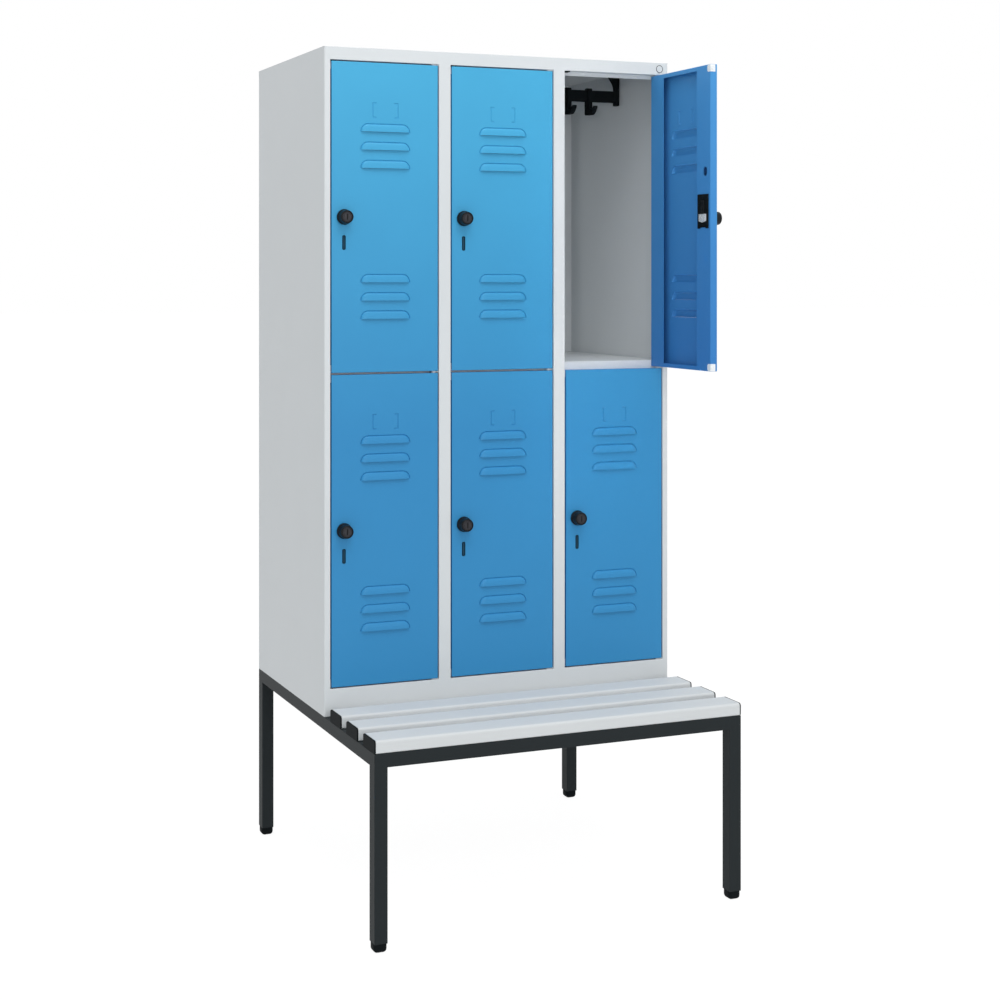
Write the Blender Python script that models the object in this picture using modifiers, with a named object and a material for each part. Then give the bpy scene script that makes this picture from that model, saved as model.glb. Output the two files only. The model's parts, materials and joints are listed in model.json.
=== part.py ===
"""Double tier locker on a bench base: three columns of two compartments, each with a hinged
door, a rotary lock, a coat rail and two sliding hooks.

Lengths are in metres. +Z is up, +X is to the right of someone who faces the doors, and the
front faces -Y. The origin is on the floor, in the middle of the locker's depth and width.
"""
import math

import bmesh
import bpy
from mathutils import Matrix, Vector

# The whole locker
COLUMN_NAMES = ("left", "middle", "right")
TIER_NAMES = ("lower", "upper")
COLUMN_PITCH = 0.300
BODY_DEPTH = 0.500
BODY_HEIGHT = 1.530
BENCH_REACH = 0.315
FRAME_HEIGHT = 0.420
SHEET = 0.0010
GAP = 0.0003
OVERRUN = 0.002
FOLD_RADIUS = 0.0012
FOLD_STEPS = 2
MERGE_DISTANCE = 0.00001
SHARP_ANGLE = math.radians(35)

# Front frame of the body: stiles, fascias and the lips that the doors close against
STILE_WIDTH = 0.030
CORNER_RADIUS = 0.003
TOP_FASCIA = 0.030
BOTTOM_FASCIA = 0.062
STOP_LIP = 0.013
STOP_CLEARANCE = 0.0005
HEM_DEPTH = 0.003
INNER_LIP = 0.012
LIP_SLIT = 0.0010
LIP_RELIEF_WIDTH = 0.022
LIP_RELIEF_DEPTH = 0.0045

# Rear and lower flanges of the body's panels
REAR_FLANGE = 0.015
PARTITION_FLANGE = 0.012
BASE_FLANGE = 0.030

# Shelf between the tiers
SHELF_RISE = 0.017
SHELF_LIP = 0.040
SHELF_HEM = 0.010
SHELF_REAR_FLANGE = 0.020

# Door leaf
DOOR_GAP = 0.003
TIER_GAP = 0.005
DOOR_DEPTH = 0.018
DOOR_EDGE_RADIUS = 0.0015
RETURN_FLANGE = 0.058
END_FLANGE = 0.010
SLOT_WIDTH = 0.0085
SLOT_HEIGHT = 0.034
SLOT_BELOW_LOCK = 0.0415
RELIEF_WIDTH = 0.015
RELIEF_HEIGHT = 0.022
RELIEF_INSET = 0.022
RELIEF_ABOVE_LOCK = 0.109
OPEN_DOOR = ("right", "upper")
OPEN_ANGLE = math.radians(90)

# Louvres of the door
LOUVRES_IN_GROUP = 3
LOUVRE_LENGTH = 0.123
LOUVRE_HEIGHT = 0.020
LOUVRE_BULGE = 0.006
LOUVRE_PITCH = 0.042
LOUVRE_UPPER_DROP = 0.161
LOUVRE_LOWER_RISE = 0.1215
LOUVRE_ROUND_STEPS = 12
LOUVRE_END_STEPS = 5

# Hinges
HINGE_INSET = 0.012
HINGE_BACK = 0.007
PIN_RADIUS = 0.0025
PIN_REACH = 0.008
PIN_STEPS = 12
LUG_SHEET = 0.0016
LUG_REACH = 0.006
LUG_DEPTH = 0.010
COLLAR_RADIUS = 0.0042

# Rotary lock
LOCK_INSET = 0.030
PLATE_WIDTH = 0.046
PLATE_HEIGHT = 0.080
PLATE_ABOVE_AXIS = 0.056
PLATE_THICKNESS = 0.0015
CASE_MARGIN = 0.0025
SPINDLE_RADIUS = 0.0075
KNOB_RADIUS = 0.018
KNOB_REACH = 0.024
KNOB_STEPS = 16
# Radius and height of the knob's outline, from the middle of its front to its foot
KNOB_OUTLINE_SHARES = ((0.0, 1.0), (0.66, 1.0), (0.84, 0.86), (0.88, 0.34), (1.0, 0.24), (1.0, 0.0))
KEY_SLOT_WIDTH = 0.0022
KEY_SLOT_HEIGHT = 0.010
KEY_SLOT_DEPTH = 0.004
HUB_WIDTH = 0.033
HUB_HEIGHT = 0.019
HUB_THICKNESS = 0.0024
CAM_LENGTH = 0.042
CAM_WIDTH = 0.014
CAM_THICKNESS = 0.0018

# Coat rail
RAIL_SETBACK = 0.2375
BAR_HEIGHT = 0.030
BAR_DEPTH = 0.010
BAR_DROP = 0.044
BAR_ROUNDING = 0.003
RAIL_CLEARANCE = 0.004
BRACKET_WIDTH = 0.012
BRACKET_DEPTH = 0.012
BRACKET_FOOT = 0.008
FLARE_LENGTH = 0.020
FLARE_DROP = 0.034

# Sliding hooks: where the two stand, from the middle of the compartment
HOOK_OFFSETS = (-0.001, 0.059)
HOOK_WIDTH = 0.012
HOOK_THICKNESS = 0.0045
HOOK_CLEARANCE = 0.0005
HOOK_UNDERLIP = 0.003
HOOK_DROP = 0.030
HOOK_REACH = 0.028
HOOK_TIP = 0.015
HOOK_ROUNDING = 0.008
HOOK_TOP_ROUNDING = 0.002

# Welded base frame of square tube
TUBE = 0.030
TUBE_WALL = 0.0020
FOOT_HEIGHT = 0.019
FOOT_ROUNDING = 0.008
FOOT_PLUG = 0.015
FOOT_STEPS = 3

# Bench slats
SLAT_NAMES = ("front", "middle", "back")
SLAT_DEPTH = 0.068
SLAT_HEIGHT = 0.028
SLAT_WALL = 0.0022
SLAT_TOP_RADIUS = 0.006
SLAT_BOTTOM_RADIUS = 0.003
SLAT_STEPS = 3
BENCH_BACK_GAP = 0.040
CAP_THICKNESS = 0.003
CAP_PLUG = 0.012

# Places worked out from the sizes above. In the body's own coordinates, X runs from its left
# side, Y from its front face and Z from its underside.
BODY_WIDTH = COLUMN_PITCH * len(COLUMN_NAMES)
BODY_FRONT = (BENCH_REACH - BODY_DEPTH) / 2
BODY_ORIGIN = Vector((-BODY_WIDTH / 2, BODY_FRONT, FRAME_HEIGHT + GAP))
SIDE_STILE = STILE_WIDTH / 2
OPENING_WIDTH = COLUMN_PITCH - STILE_WIDTH
RAIL_LENGTH = COLUMN_PITCH - RAIL_CLEARANCE * 2
OPENING_TOP = BODY_HEIGHT - TOP_FASCIA
STOP_FACE = DOOR_DEPTH + STOP_CLEARANCE
REAR_PLANE = BODY_DEPTH - SHEET * 2 - GAP * 2
CEILING = BODY_HEIGHT - SHEET
TIERS = len(TIER_NAMES)
DOOR_WIDTH = OPENING_WIDTH - DOOR_GAP * 2
DOOR_HEIGHT = (OPENING_TOP - BOTTOM_FASCIA - DOOR_GAP * 2 - TIER_GAP * (TIERS - 1)) / TIERS
MIDDLE_GAP = BOTTOM_FASCIA + DOOR_GAP + DOOR_HEIGHT + TIER_GAP / 2
SHELF_TOP = MIDDLE_GAP + SHELF_RISE
HINGE_EDGE = HINGE_INSET - DOOR_GAP
LOCK_X = HINGE_EDGE - DOOR_WIDTH + LOCK_INSET
LOCK_Z = DOOR_HEIGHT / 2
DOOR_FACE = -HINGE_BACK
DOOR_REAR = DOOR_DEPTH - HINGE_BACK
PLATE_REAR = DOOR_REAR + GAP + PLATE_THICKNESS

# Local axes (across the path, along the path, along the sweep) of a section that runs along X
SECTION = Matrix(((0, 0, 1, 0), (1, 0, 0, 0), (0, 1, 0, 0), (0, 0, 0, 1)))
PLAN = Matrix.Identity(4)
# Turns a shape made along Z so that its top faces the front
FACING_FRONT = Matrix.Rotation(math.radians(90), 4, "X")


def clear_scene():
    """Remove every object that the scene holds."""
    for old in list(bpy.data.objects):
        bpy.data.objects.remove(old, do_unlink=True)


def make_collection(name):
    """Make a collection in the scene."""
    collection = bpy.data.collections.new(name)
    bpy.context.scene.collection.children.link(collection)
    return collection


def make_material(name, colour, roughness, metallic=0.0):
    """Make a plain material with the finish of one kind of surface."""
    material = bpy.data.materials.new(name)
    material.use_nodes = True
    shader = material.node_tree.nodes["Principled BSDF"]
    shader.inputs["Base Color"].default_value = (*colour, 1.0)
    shader.inputs["Roughness"].default_value = roughness
    shader.inputs["Metallic"].default_value = metallic
    material.diffuse_color = (*colour, 1.0)
    return material


def add_object(name, mesh, collection, material=None, location=(0, 0, 0), parent=None):
    """Put a mesh in the scene as a named object."""
    obj = bpy.data.objects.new(name, mesh)
    collection.objects.link(obj)
    obj.location = location
    obj.parent = parent
    if material and not mesh.materials:
        mesh.materials.append(material)
    return obj


def add_empty(name, collection, location, turn=0.0, parent=None):
    """Mark a joint's axis, which the pieces that turn about it hang on."""
    empty = bpy.data.objects.new(name, None)
    collection.objects.link(empty)
    empty.location = location
    empty.rotation_euler.z = turn
    empty.parent = parent
    return empty


def mesh_from(bm, name):
    """Turn a bmesh into a mesh."""
    mesh = bpy.data.meshes.new(name)
    bm.to_mesh(mesh)
    bm.free()
    return mesh


def add_box(bm, low, high):
    """Add a box between two corners and return its vertices."""
    low, high = Vector(low), Vector(high)
    made = bmesh.ops.create_cube(bm, size=1)["verts"]
    bmesh.ops.scale(bm, verts=made, vec=high - low)
    bmesh.ops.translate(bm, verts=made, vec=(high + low) / 2)
    return made


def add_cylinder(bm, radius, steps, low, high):
    """Add a round bar from one point to another and return its vertices."""
    low, high = Vector(low), Vector(high)
    span = high - low
    turn = Vector((0, 0, 1)).rotation_difference(span).to_matrix().to_4x4()
    place = Matrix.Translation((low + high) / 2) @ turn
    made = bmesh.ops.create_cone(
        bm, cap_ends=True, segments=steps, radius1=radius, radius2=radius, depth=span.length, matrix=place
    )
    return made["verts"]


def boxes_mesh(name, *corners):
    """Make a mesh of boxes, each given by its low and high corner."""
    bm = bmesh.new()
    for low, high in corners:
        add_box(bm, low, high)
    return mesh_from(bm, name)


def add_boolean(obj, operand, operation):
    """Join the operand to an object, or cut it out, and keep the operand as a hidden guide."""
    modifier = obj.modifiers.new(operation.title(), "BOOLEAN")
    modifier.operation = operation
    modifier.object = operand
    modifier.solver = "EXACT"
    operand.hide_render = True
    operand.display_type = "WIRE"


def add_solidify(obj, thickness, offset):
    """Give an open surface its thickness."""
    modifier = obj.modifiers.new("Solidify", "SOLIDIFY")
    modifier.thickness = thickness
    modifier.offset = offset
    modifier.use_even_offset = True


def baked_mesh(obj):
    """Return the mesh that an object's modifiers make, and remove it and its operands."""
    view = bpy.context.evaluated_depsgraph_get()
    mesh = bpy.data.meshes.new_from_object(obj.evaluated_get(view))
    mesh.shade_smooth()
    mesh.set_sharp_from_angle(angle=SHARP_ANGLE)
    operands = [modifier.object for modifier in obj.modifiers if modifier.type == "BOOLEAN"]
    for used in [obj, *operands]:
        bpy.data.objects.remove(used, do_unlink=True)
    return mesh


def strip_mesh(name, path, radii, low, high, frame):
    """Sweep a path into an open sheet that runs from low to high, with rounded folds.

    The sheet's normals point to the right of someone who walks along the path.
    """
    bm = bmesh.new()
    points = [bm.verts.new((u, v, low)) for u, v in path]
    edges = [bm.edges.new(pair) for pair in zip(points, points[1:])]
    swept = bmesh.ops.extrude_edge_only(bm, edges=edges)["geom"]
    far = [item for item in swept if isinstance(item, bmesh.types.BMVert)]
    bmesh.ops.translate(bm, verts=far, vec=(0, 0, high - low))
    bm.normal_update()
    along = points[1].co - points[0].co
    right = Vector((along.y, -along.x, 0))
    first = edges[0].link_faces[0]
    if first.normal.dot(right) < 0:
        bmesh.ops.reverse_faces(bm, faces=bm.faces)
    folds = [next(edge for edge in point.link_edges if not edge.is_boundary) for point in points[1:-1]]
    for fold, radius in zip(folds, radii):
        bmesh.ops.bevel(
            bm, geom=[fold], offset=radius, segments=FOLD_STEPS, profile=0.5, affect="EDGES", material=-1
        )
    bmesh.ops.transform(bm, matrix=frame, verts=bm.verts)
    return mesh_from(bm, name)


def side_panel(name, right_hand, steel, parts):
    """Outer wall with its front stile and rear flange, all folded from one sheet."""
    path = [
        (SIDE_STILE - INNER_LIP, DOOR_DEPTH),
        (SIDE_STILE, DOOR_DEPTH),
        (SIDE_STILE, 0),
        (0, 0),
        (0, BODY_DEPTH),
        (REAR_FLANGE, BODY_DEPTH),
    ]
    radii = (FOLD_RADIUS, FOLD_RADIUS, CORNER_RADIUS, FOLD_RADIUS)
    if right_hand:
        path = [(BODY_WIDTH - x, y) for x, y in path]
    mesh = strip_mesh(name, path, radii, 0, CEILING - GAP * 2, PLAN)
    panel = add_object(name, mesh, parts, steel, BODY_ORIGIN)
    add_solidify(panel, SHEET, -1 if right_hand else 1)
    return panel


def partition_panel(name, middle, steel, parts, guides):
    """Wall between two columns, with a box-shaped front stile folded from the same sheet."""
    half = STILE_WIDTH / 2
    wall = middle + SHEET / 2
    rear = REAR_PLANE - SHEET
    path = [
        (middle - SHEET / 2 - LIP_SLIT, DOOR_DEPTH),
        (middle - half, DOOR_DEPTH),
        (middle - half, 0),
        (middle + half, 0),
        (middle + half, DOOR_DEPTH),
        (wall, DOOR_DEPTH),
        (wall, rear),
        (wall + PARTITION_FLANGE, rear),
    ]
    bottom, top = BOTTOM_FASCIA + GAP, CEILING - GAP
    mesh = strip_mesh(name, path, [FOLD_RADIUS] * (len(path) - 2), bottom, top, PLAN)
    panel = add_object(name, mesh, parts, steel, BODY_ORIGIN)
    add_solidify(panel, SHEET, -1)
    notch = LIP_SLIT + SHEET
    front, lip_back = DOOR_DEPTH - SHEET - OVERRUN, STOP_FACE + HEM_DEPTH + GAP
    cuts = {
        "fascia": (
            (middle - half - OVERRUN, -OVERRUN, OPENING_TOP - GAP),
            (middle + half + OVERRUN, lip_back, top + OVERRUN),
        ),
        "upper_lip": (
            (middle - notch, front, OPENING_TOP - STOP_LIP - GAP),
            (middle + notch, lip_back, OPENING_TOP),
        ),
        "lower_lip": (
            (middle - notch, front, bottom - OVERRUN),
            (middle + notch, lip_back, BOTTOM_FASCIA + STOP_LIP + GAP),
        ),
    }
    for kind, corners in cuts.items():
        cutter = add_object(f"{name}_{kind}", boxes_mesh(kind, corners), guides, None, BODY_ORIGIN)
        add_boolean(panel, cutter, "DIFFERENCE")
    return panel


def add_hinges(panel, column, guides):
    """Weld the hinge lugs of one column, with their pins, to the stile at its right."""
    stile = COLUMN_PITCH * (column + 1) - STILE_WIDTH / 2
    axis = stile - HINGE_INSET
    levels = (
        (BOTTOM_FASCIA + DOOR_GAP / 2, DOOR_GAP, 0, 1),
        (MIDDLE_GAP, TIER_GAP, 1, 1),
        (OPENING_TOP - DOOR_GAP / 2, DOOR_GAP, 1, 0),
    )
    lugs, collars, pins = bmesh.new(), bmesh.new(), bmesh.new()
    for z, space, below, above in levels:
        add_box(
            lugs,
            (axis - LUG_REACH, HINGE_BACK - LUG_DEPTH / 2, z - LUG_SHEET / 2),
            (stile + SHEET / 2, HINGE_BACK + LUG_DEPTH / 2, z + LUG_SHEET / 2),
        )
        collar = space / 2 - GAP
        add_cylinder(
            collars, COLLAR_RADIUS, PIN_STEPS,
            (axis, HINGE_BACK, z - collar), (axis, HINGE_BACK, z + collar),
        )
        low = z - below * (space / 2 + PIN_REACH)
        high = z + above * (space / 2 + PIN_REACH)
        add_cylinder(pins, PIN_RADIUS, PIN_STEPS, (axis, HINGE_BACK, low), (axis, HINGE_BACK, high))
    for kind, bm in (("lugs", lugs), ("collars", collars), ("pins", pins)):
        name = f"{panel.name}_{kind}"
        add_boolean(panel, add_object(name, mesh_from(bm, name), guides, None, BODY_ORIGIN), "UNION")


def top_panel(steel, parts, guides):
    """Top sheet with the fascia, the return over the doors and the stop lip."""
    path = [
        (STOP_FACE, OPENING_TOP - STOP_LIP),
        (STOP_FACE, OPENING_TOP),
        (0, OPENING_TOP),
        (0, BODY_HEIGHT),
        (BODY_DEPTH, BODY_HEIGHT),
        (BODY_DEPTH, BODY_HEIGHT - REAR_FLANGE),
    ]
    mesh = strip_mesh("top_panel", path, [FOLD_RADIUS] * (len(path) - 2), 0, BODY_WIDTH, SECTION)
    panel = add_object("top_panel", mesh, parts, steel, BODY_ORIGIN)
    add_solidify(panel, SHEET, 1)
    low, high = OPENING_TOP - STOP_LIP - OVERRUN, CEILING - GAP
    edge = SIDE_STILE + GAP
    corners = boxes_mesh(
        "top_corners",
        ((-OVERRUN, -OVERRUN, low), (edge, BODY_DEPTH + OVERRUN, high)),
        ((BODY_WIDTH - edge, -OVERRUN, low), (BODY_WIDTH + OVERRUN, BODY_DEPTH + OVERRUN, high)),
    )
    add_boolean(panel, add_object("top_corners", corners, guides, None, BODY_ORIGIN), "DIFFERENCE")
    reliefs = lip_reliefs("top_lip_reliefs", low, OPENING_TOP - GAP)
    add_boolean(panel, add_object("top_lip_reliefs", reliefs, guides, None, BODY_ORIGIN), "DIFFERENCE")
    return panel


def lip_reliefs(name, low, high):
    """Room in a stop lip for the rear corner of each door as it turns on its hinge."""
    bm = bmesh.new()
    for column in range(len(COLUMN_NAMES)):
        stile = COLUMN_PITCH * (column + 1) - STILE_WIDTH / 2
        add_box(
            bm,
            (stile - LIP_RELIEF_WIDTH, STOP_FACE - OVERRUN, low),
            (stile + GAP, STOP_FACE + LIP_RELIEF_DEPTH, high),
        )
    return mesh_from(bm, name)


def bottom_panel(steel, parts, guides):
    """Bottom sheet with the fascia, the hemmed stop lip, the floor and two base flanges."""
    path = [
        (BASE_FLANGE, 0),
        (0, 0),
        (0, BOTTOM_FASCIA),
        (STOP_FACE, BOTTOM_FASCIA),
        (STOP_FACE, BOTTOM_FASCIA + STOP_LIP),
        (STOP_FACE + HEM_DEPTH, BOTTOM_FASCIA + STOP_LIP),
        (STOP_FACE + HEM_DEPTH, BOTTOM_FASCIA),
        (REAR_PLANE, BOTTOM_FASCIA),
        (REAR_PLANE, 0),
        (REAR_PLANE - BASE_FLANGE, 0),
    ]
    left = SHEET + GAP
    mesh = strip_mesh(
        "bottom_panel", path, [FOLD_RADIUS] * (len(path) - 2), left, BODY_WIDTH - left, SECTION
    )
    panel = add_object("bottom_panel", mesh, parts, steel, BODY_ORIGIN)
    add_solidify(panel, SHEET, 1)
    edge, back = SIDE_STILE + GAP, DOOR_DEPTH + GAP
    top = BOTTOM_FASCIA + STOP_LIP + OVERRUN
    corners = boxes_mesh(
        "bottom_corners",
        ((-OVERRUN, -OVERRUN, -OVERRUN), (edge, back, top)),
        ((BODY_WIDTH - edge, -OVERRUN, -OVERRUN), (BODY_WIDTH + OVERRUN, back, top)),
    )
    add_boolean(panel, add_object("bottom_corners", corners, guides, None, BODY_ORIGIN), "DIFFERENCE")
    reliefs = lip_reliefs("bottom_lip_reliefs", BOTTOM_FASCIA + SHEET, top)
    add_boolean(panel, add_object("bottom_lip_reliefs", reliefs, guides, None, BODY_ORIGIN), "DIFFERENCE")
    return panel


def back_panel(steel, parts):
    """Flat back sheet, held by the rear flanges of the sides and the top."""
    inset = SHEET + GAP
    rear = BODY_DEPTH - SHEET - GAP
    mesh = boxes_mesh(
        "back_panel", ((inset, rear - SHEET, 0), (BODY_WIDTH - inset, rear, CEILING - GAP * 2))
    )
    return add_object("back_panel", mesh, parts, steel, BODY_ORIGIN)


def shelf_mesh(guides):
    """Shelf with a front lip that both doors close against, and a rear flange."""
    low = SHELF_TOP - SHELF_LIP
    rear = REAR_PLANE - SHEET - GAP
    path = [
        (STOP_FACE + SHELF_HEM, low),
        (STOP_FACE, low),
        (STOP_FACE, SHELF_TOP),
        (rear, SHELF_TOP),
        (rear, SHELF_TOP - SHELF_REAR_FLANGE),
    ]
    side = SHEET + GAP
    mesh = strip_mesh("shelf", path, [FOLD_RADIUS] * (len(path) - 2), side, COLUMN_PITCH - side, SECTION)
    shelf = add_object("shelf", mesh, guides)
    add_solidify(shelf, SHEET, 1)
    corner = boxes_mesh(
        "shelf_corner",
        (
            (COLUMN_PITCH - STILE_WIDTH / 2 - LIP_RELIEF_WIDTH, STOP_FACE - OVERRUN, low - OVERRUN),
            (COLUMN_PITCH + OVERRUN, STOP_FACE + LIP_RELIEF_DEPTH, SHELF_TOP + OVERRUN),
        ),
    )
    add_boolean(shelf, add_object("shelf_corner", corner, guides), "DIFFERENCE")
    return baked_mesh(shelf)


def add_louvre(bm, length, height, bulge, front, rear, base, middle, sole):
    """Add the front upper quarter of a long rounded shape, which bulges out of the door."""
    made = bmesh.ops.create_uvsphere(
        bm, u_segments=LOUVRE_ROUND_STEPS, v_segments=LOUVRE_END_STEPS, radius=1,
        matrix=Matrix.Rotation(math.radians(90), 4, "Y"),
    )["verts"]
    bmesh.ops.scale(bm, verts=made, vec=(height, bulge, height))
    for vertex in made:
        vertex.co.x += math.copysign(length / 2 - height, vertex.co.x)
    bmesh.ops.translate(bm, verts=made, vec=(middle, front, base))
    for place, normal in (((0, rear, 0), (0, 1, 0)), ((0, 0, base - sole), (0, 0, -1))):
        linked = {item for vertex in made for item in (vertex, *vertex.link_edges, *vertex.link_faces)}
        cut = bmesh.ops.bisect_plane(
            bm, geom=list(linked), plane_co=place, plane_no=normal, clear_outer=True
        )["geom_cut"]
        rim = [item for item in cut if isinstance(item, bmesh.types.BMEdge)]
        bmesh.ops.contextual_create(bm, geom=rim)
        made = [vertex for vertex in made if vertex.is_valid]
        made += [item for item in cut if isinstance(item, bmesh.types.BMVert)]


def louvre_bases():
    """Heights of the lower edges of a door's louvres, from the door's bottom."""
    for row in range(LOUVRES_IN_GROUP):
        yield DOOR_HEIGHT - LOUVRE_UPPER_DROP - row * LOUVRE_PITCH
        yield LOUVRE_LOWER_RISE + row * LOUVRE_PITCH


def door_mesh(guides):
    """Folded door pan with louvres. Its origin is on the hinge axis, at the door's bottom."""
    left, middle = HINGE_EDGE - DOOR_WIDTH, HINGE_EDGE - DOOR_WIDTH / 2
    bm = bmesh.new()
    add_box(bm, (left, DOOR_FACE, 0), (HINGE_EDGE, DOOR_REAR, DOOR_HEIGHT))
    bmesh.ops.bevel(
        bm, geom=list(bm.edges), offset=DOOR_EDGE_RADIUS, segments=FOLD_STEPS, profile=0.5,
        affect="EDGES", material=-1,
    )
    bm.normal_update()
    rear = max(bm.faces, key=lambda face: face.normal.y * face.calc_area())
    bmesh.ops.inset_individual(
        bm, faces=[rear], thickness=END_FLANGE - DOOR_EDGE_RADIUS, use_even_offset=True
    )
    for vertex in rear.verts:
        side = 1 if vertex.co.x > middle else -1
        vertex.co.x = middle + side * (DOOR_WIDTH / 2 - RETURN_FLANGE)
    bmesh.ops.delete(bm, geom=[rear], context="FACES_ONLY")
    door = add_object("door", mesh_from(bm, "door"), guides)
    add_solidify(door, SHEET, -1)

    hoods, cuts = bmesh.new(), bmesh.new()
    for base in louvre_bases():
        add_louvre(
            hoods, LOUVRE_LENGTH, LOUVRE_HEIGHT, LOUVRE_BULGE, DOOR_FACE,
            DOOR_FACE + SHEET / 2, base, middle, 0,
        )
        add_louvre(
            cuts, LOUVRE_LENGTH - SHEET * 2, LOUVRE_HEIGHT - SHEET, LOUVRE_BULGE - SHEET, DOOR_FACE,
            DOOR_FACE + SHEET + OVERRUN, base, middle, SHEET,
        )
    slot_top = LOCK_Z - SLOT_BELOW_LOCK
    add_box(
        cuts,
        (LOCK_X - SLOT_WIDTH / 2, DOOR_FACE - OVERRUN, slot_top - SLOT_HEIGHT),
        (LOCK_X + SLOT_WIDTH / 2, DOOR_FACE + SHEET + OVERRUN, slot_top),
    )
    case_low, case_high = case_corners(GAP)
    add_box(
        cuts,
        (case_low.x, DOOR_REAR - SHEET - OVERRUN, case_low.z),
        (case_high.x, DOOR_REAR + OVERRUN, case_high.z),
    )
    add_cylinder(
        cuts, SPINDLE_RADIUS + GAP * 2, KNOB_STEPS,
        (LOCK_X, DOOR_FACE - OVERRUN, LOCK_Z), (LOCK_X, DOOR_FACE + SHEET + OVERRUN, LOCK_Z),
    )
    relief = add_cylinder(
        cuts, RELIEF_WIDTH / 2, PIN_STEPS,
        (left + RELIEF_INSET, DOOR_REAR - SHEET - OVERRUN, 0),
        (left + RELIEF_INSET, DOOR_REAR + OVERRUN, 0),
    )
    for vertex in relief:
        vertex.co.z += math.copysign((RELIEF_HEIGHT - RELIEF_WIDTH) / 2, vertex.co.z + MERGE_DISTANCE)
    bmesh.ops.translate(cuts, verts=relief, vec=(0, 0, LOCK_Z + RELIEF_ABOVE_LOCK))
    for end in (0, DOOR_HEIGHT):
        add_cylinder(
            cuts, PIN_RADIUS + GAP, PIN_STEPS, (0, 0, end - SHEET - OVERRUN), (0, 0, end + SHEET + OVERRUN)
        )
    add_boolean(door, add_object("door_hoods", mesh_from(hoods, "door_hoods"), guides), "UNION")
    add_boolean(door, add_object("door_cuts", mesh_from(cuts, "door_cuts"), guides), "DIFFERENCE")
    return baked_mesh(door)


def case_corners(clearance):
    """Low and high corner of the lock case between the door's sheets, grown by a clearance."""
    half = PLATE_WIDTH / 2 - CASE_MARGIN + clearance
    top = LOCK_Z + PLATE_ABOVE_AXIS
    low = Vector((LOCK_X - half, DOOR_FACE + SHEET + GAP, top - PLATE_HEIGHT + CASE_MARGIN - clearance))
    high = Vector((LOCK_X + half, PLATE_REAR - PLATE_THICKNESS / 2, top - CASE_MARGIN + clearance))
    return low, high


def lock_case_mesh(guides):
    """Lock case that passes through the latch flange, with a plate on its outside and a bore."""
    case = add_object("case", boxes_mesh("case", case_corners(0)), guides)
    top = LOCK_Z + PLATE_ABOVE_AXIS
    plate = boxes_mesh(
        "case_plate",
        (
            (LOCK_X - PLATE_WIDTH / 2, PLATE_REAR - PLATE_THICKNESS, top - PLATE_HEIGHT),
            (LOCK_X + PLATE_WIDTH / 2, PLATE_REAR, top),
        ),
    )
    add_boolean(case, add_object("case_plate", plate, guides), "UNION")
    bm = bmesh.new()
    add_cylinder(
        bm, SPINDLE_RADIUS + GAP * 2, KNOB_STEPS,
        (LOCK_X, DOOR_FACE, LOCK_Z), (LOCK_X, PLATE_REAR + OVERRUN, LOCK_Z),
    )
    add_boolean(case, add_object("case_bore", mesh_from(bm, "case_bore"), guides), "DIFFERENCE")
    return baked_mesh(case)


def lock_rotor_mesh(guides):
    """Knob, spindle, hub and cam, which turn as one. Its origin is on its axis, at the door's face."""
    cam_front = PLATE_REAR + GAP - DOOR_FACE
    cam_rear = cam_front + HUB_THICKNESS
    outline = [
        (share * KNOB_RADIUS, GAP + height * (KNOB_REACH - GAP)) for share, height in KNOB_OUTLINE_SHARES
    ]
    outline += [(SPINDLE_RADIUS, GAP), (SPINDLE_RADIUS, GAP - cam_rear), (0, GAP - cam_rear)]
    bm = bmesh.new()
    points = [bm.verts.new((radius, 0, height)) for radius, height in outline]
    for pair in zip(points, points[1:]):
        bm.edges.new(pair)
    turned = add_object("turned", mesh_from(bm, "turned"), guides)
    screw = turned.modifiers.new("Screw", "SCREW")
    screw.angle = math.radians(360)
    screw.steps = KNOB_STEPS
    screw.render_steps = KNOB_STEPS
    screw.use_merge_vertices = True
    screw.merge_threshold = MERGE_DISTANCE
    screw.use_normal_calculate = True
    rotor = add_object("rotor", baked_mesh(turned), guides)
    rotor.data.transform(FACING_FRONT)
    inner = (HUB_THICKNESS - CAM_THICKNESS) / 2
    hub = boxes_mesh(
        "hub", ((-HUB_WIDTH / 2, cam_front, -HUB_HEIGHT / 2), (HUB_WIDTH / 2, cam_rear, HUB_HEIGHT / 2))
    )
    arm = boxes_mesh(
        "arm", ((-CAM_WIDTH / 2, cam_front + inner, 0), (CAM_WIDTH / 2, cam_rear - inner, CAM_LENGTH))
    )
    key = boxes_mesh(
        "key",
        (
            (-KEY_SLOT_WIDTH / 2, -KNOB_REACH - OVERRUN, -KEY_SLOT_HEIGHT / 2),
            (KEY_SLOT_WIDTH / 2, -KNOB_REACH + KEY_SLOT_DEPTH, KEY_SLOT_HEIGHT / 2),
        ),
    )
    add_boolean(rotor, add_object("hub", hub, guides), "UNION")
    add_boolean(rotor, add_object("arm", arm, guides), "UNION")
    add_boolean(rotor, add_object("key", key, guides), "DIFFERENCE")
    return baked_mesh(rotor)


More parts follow.
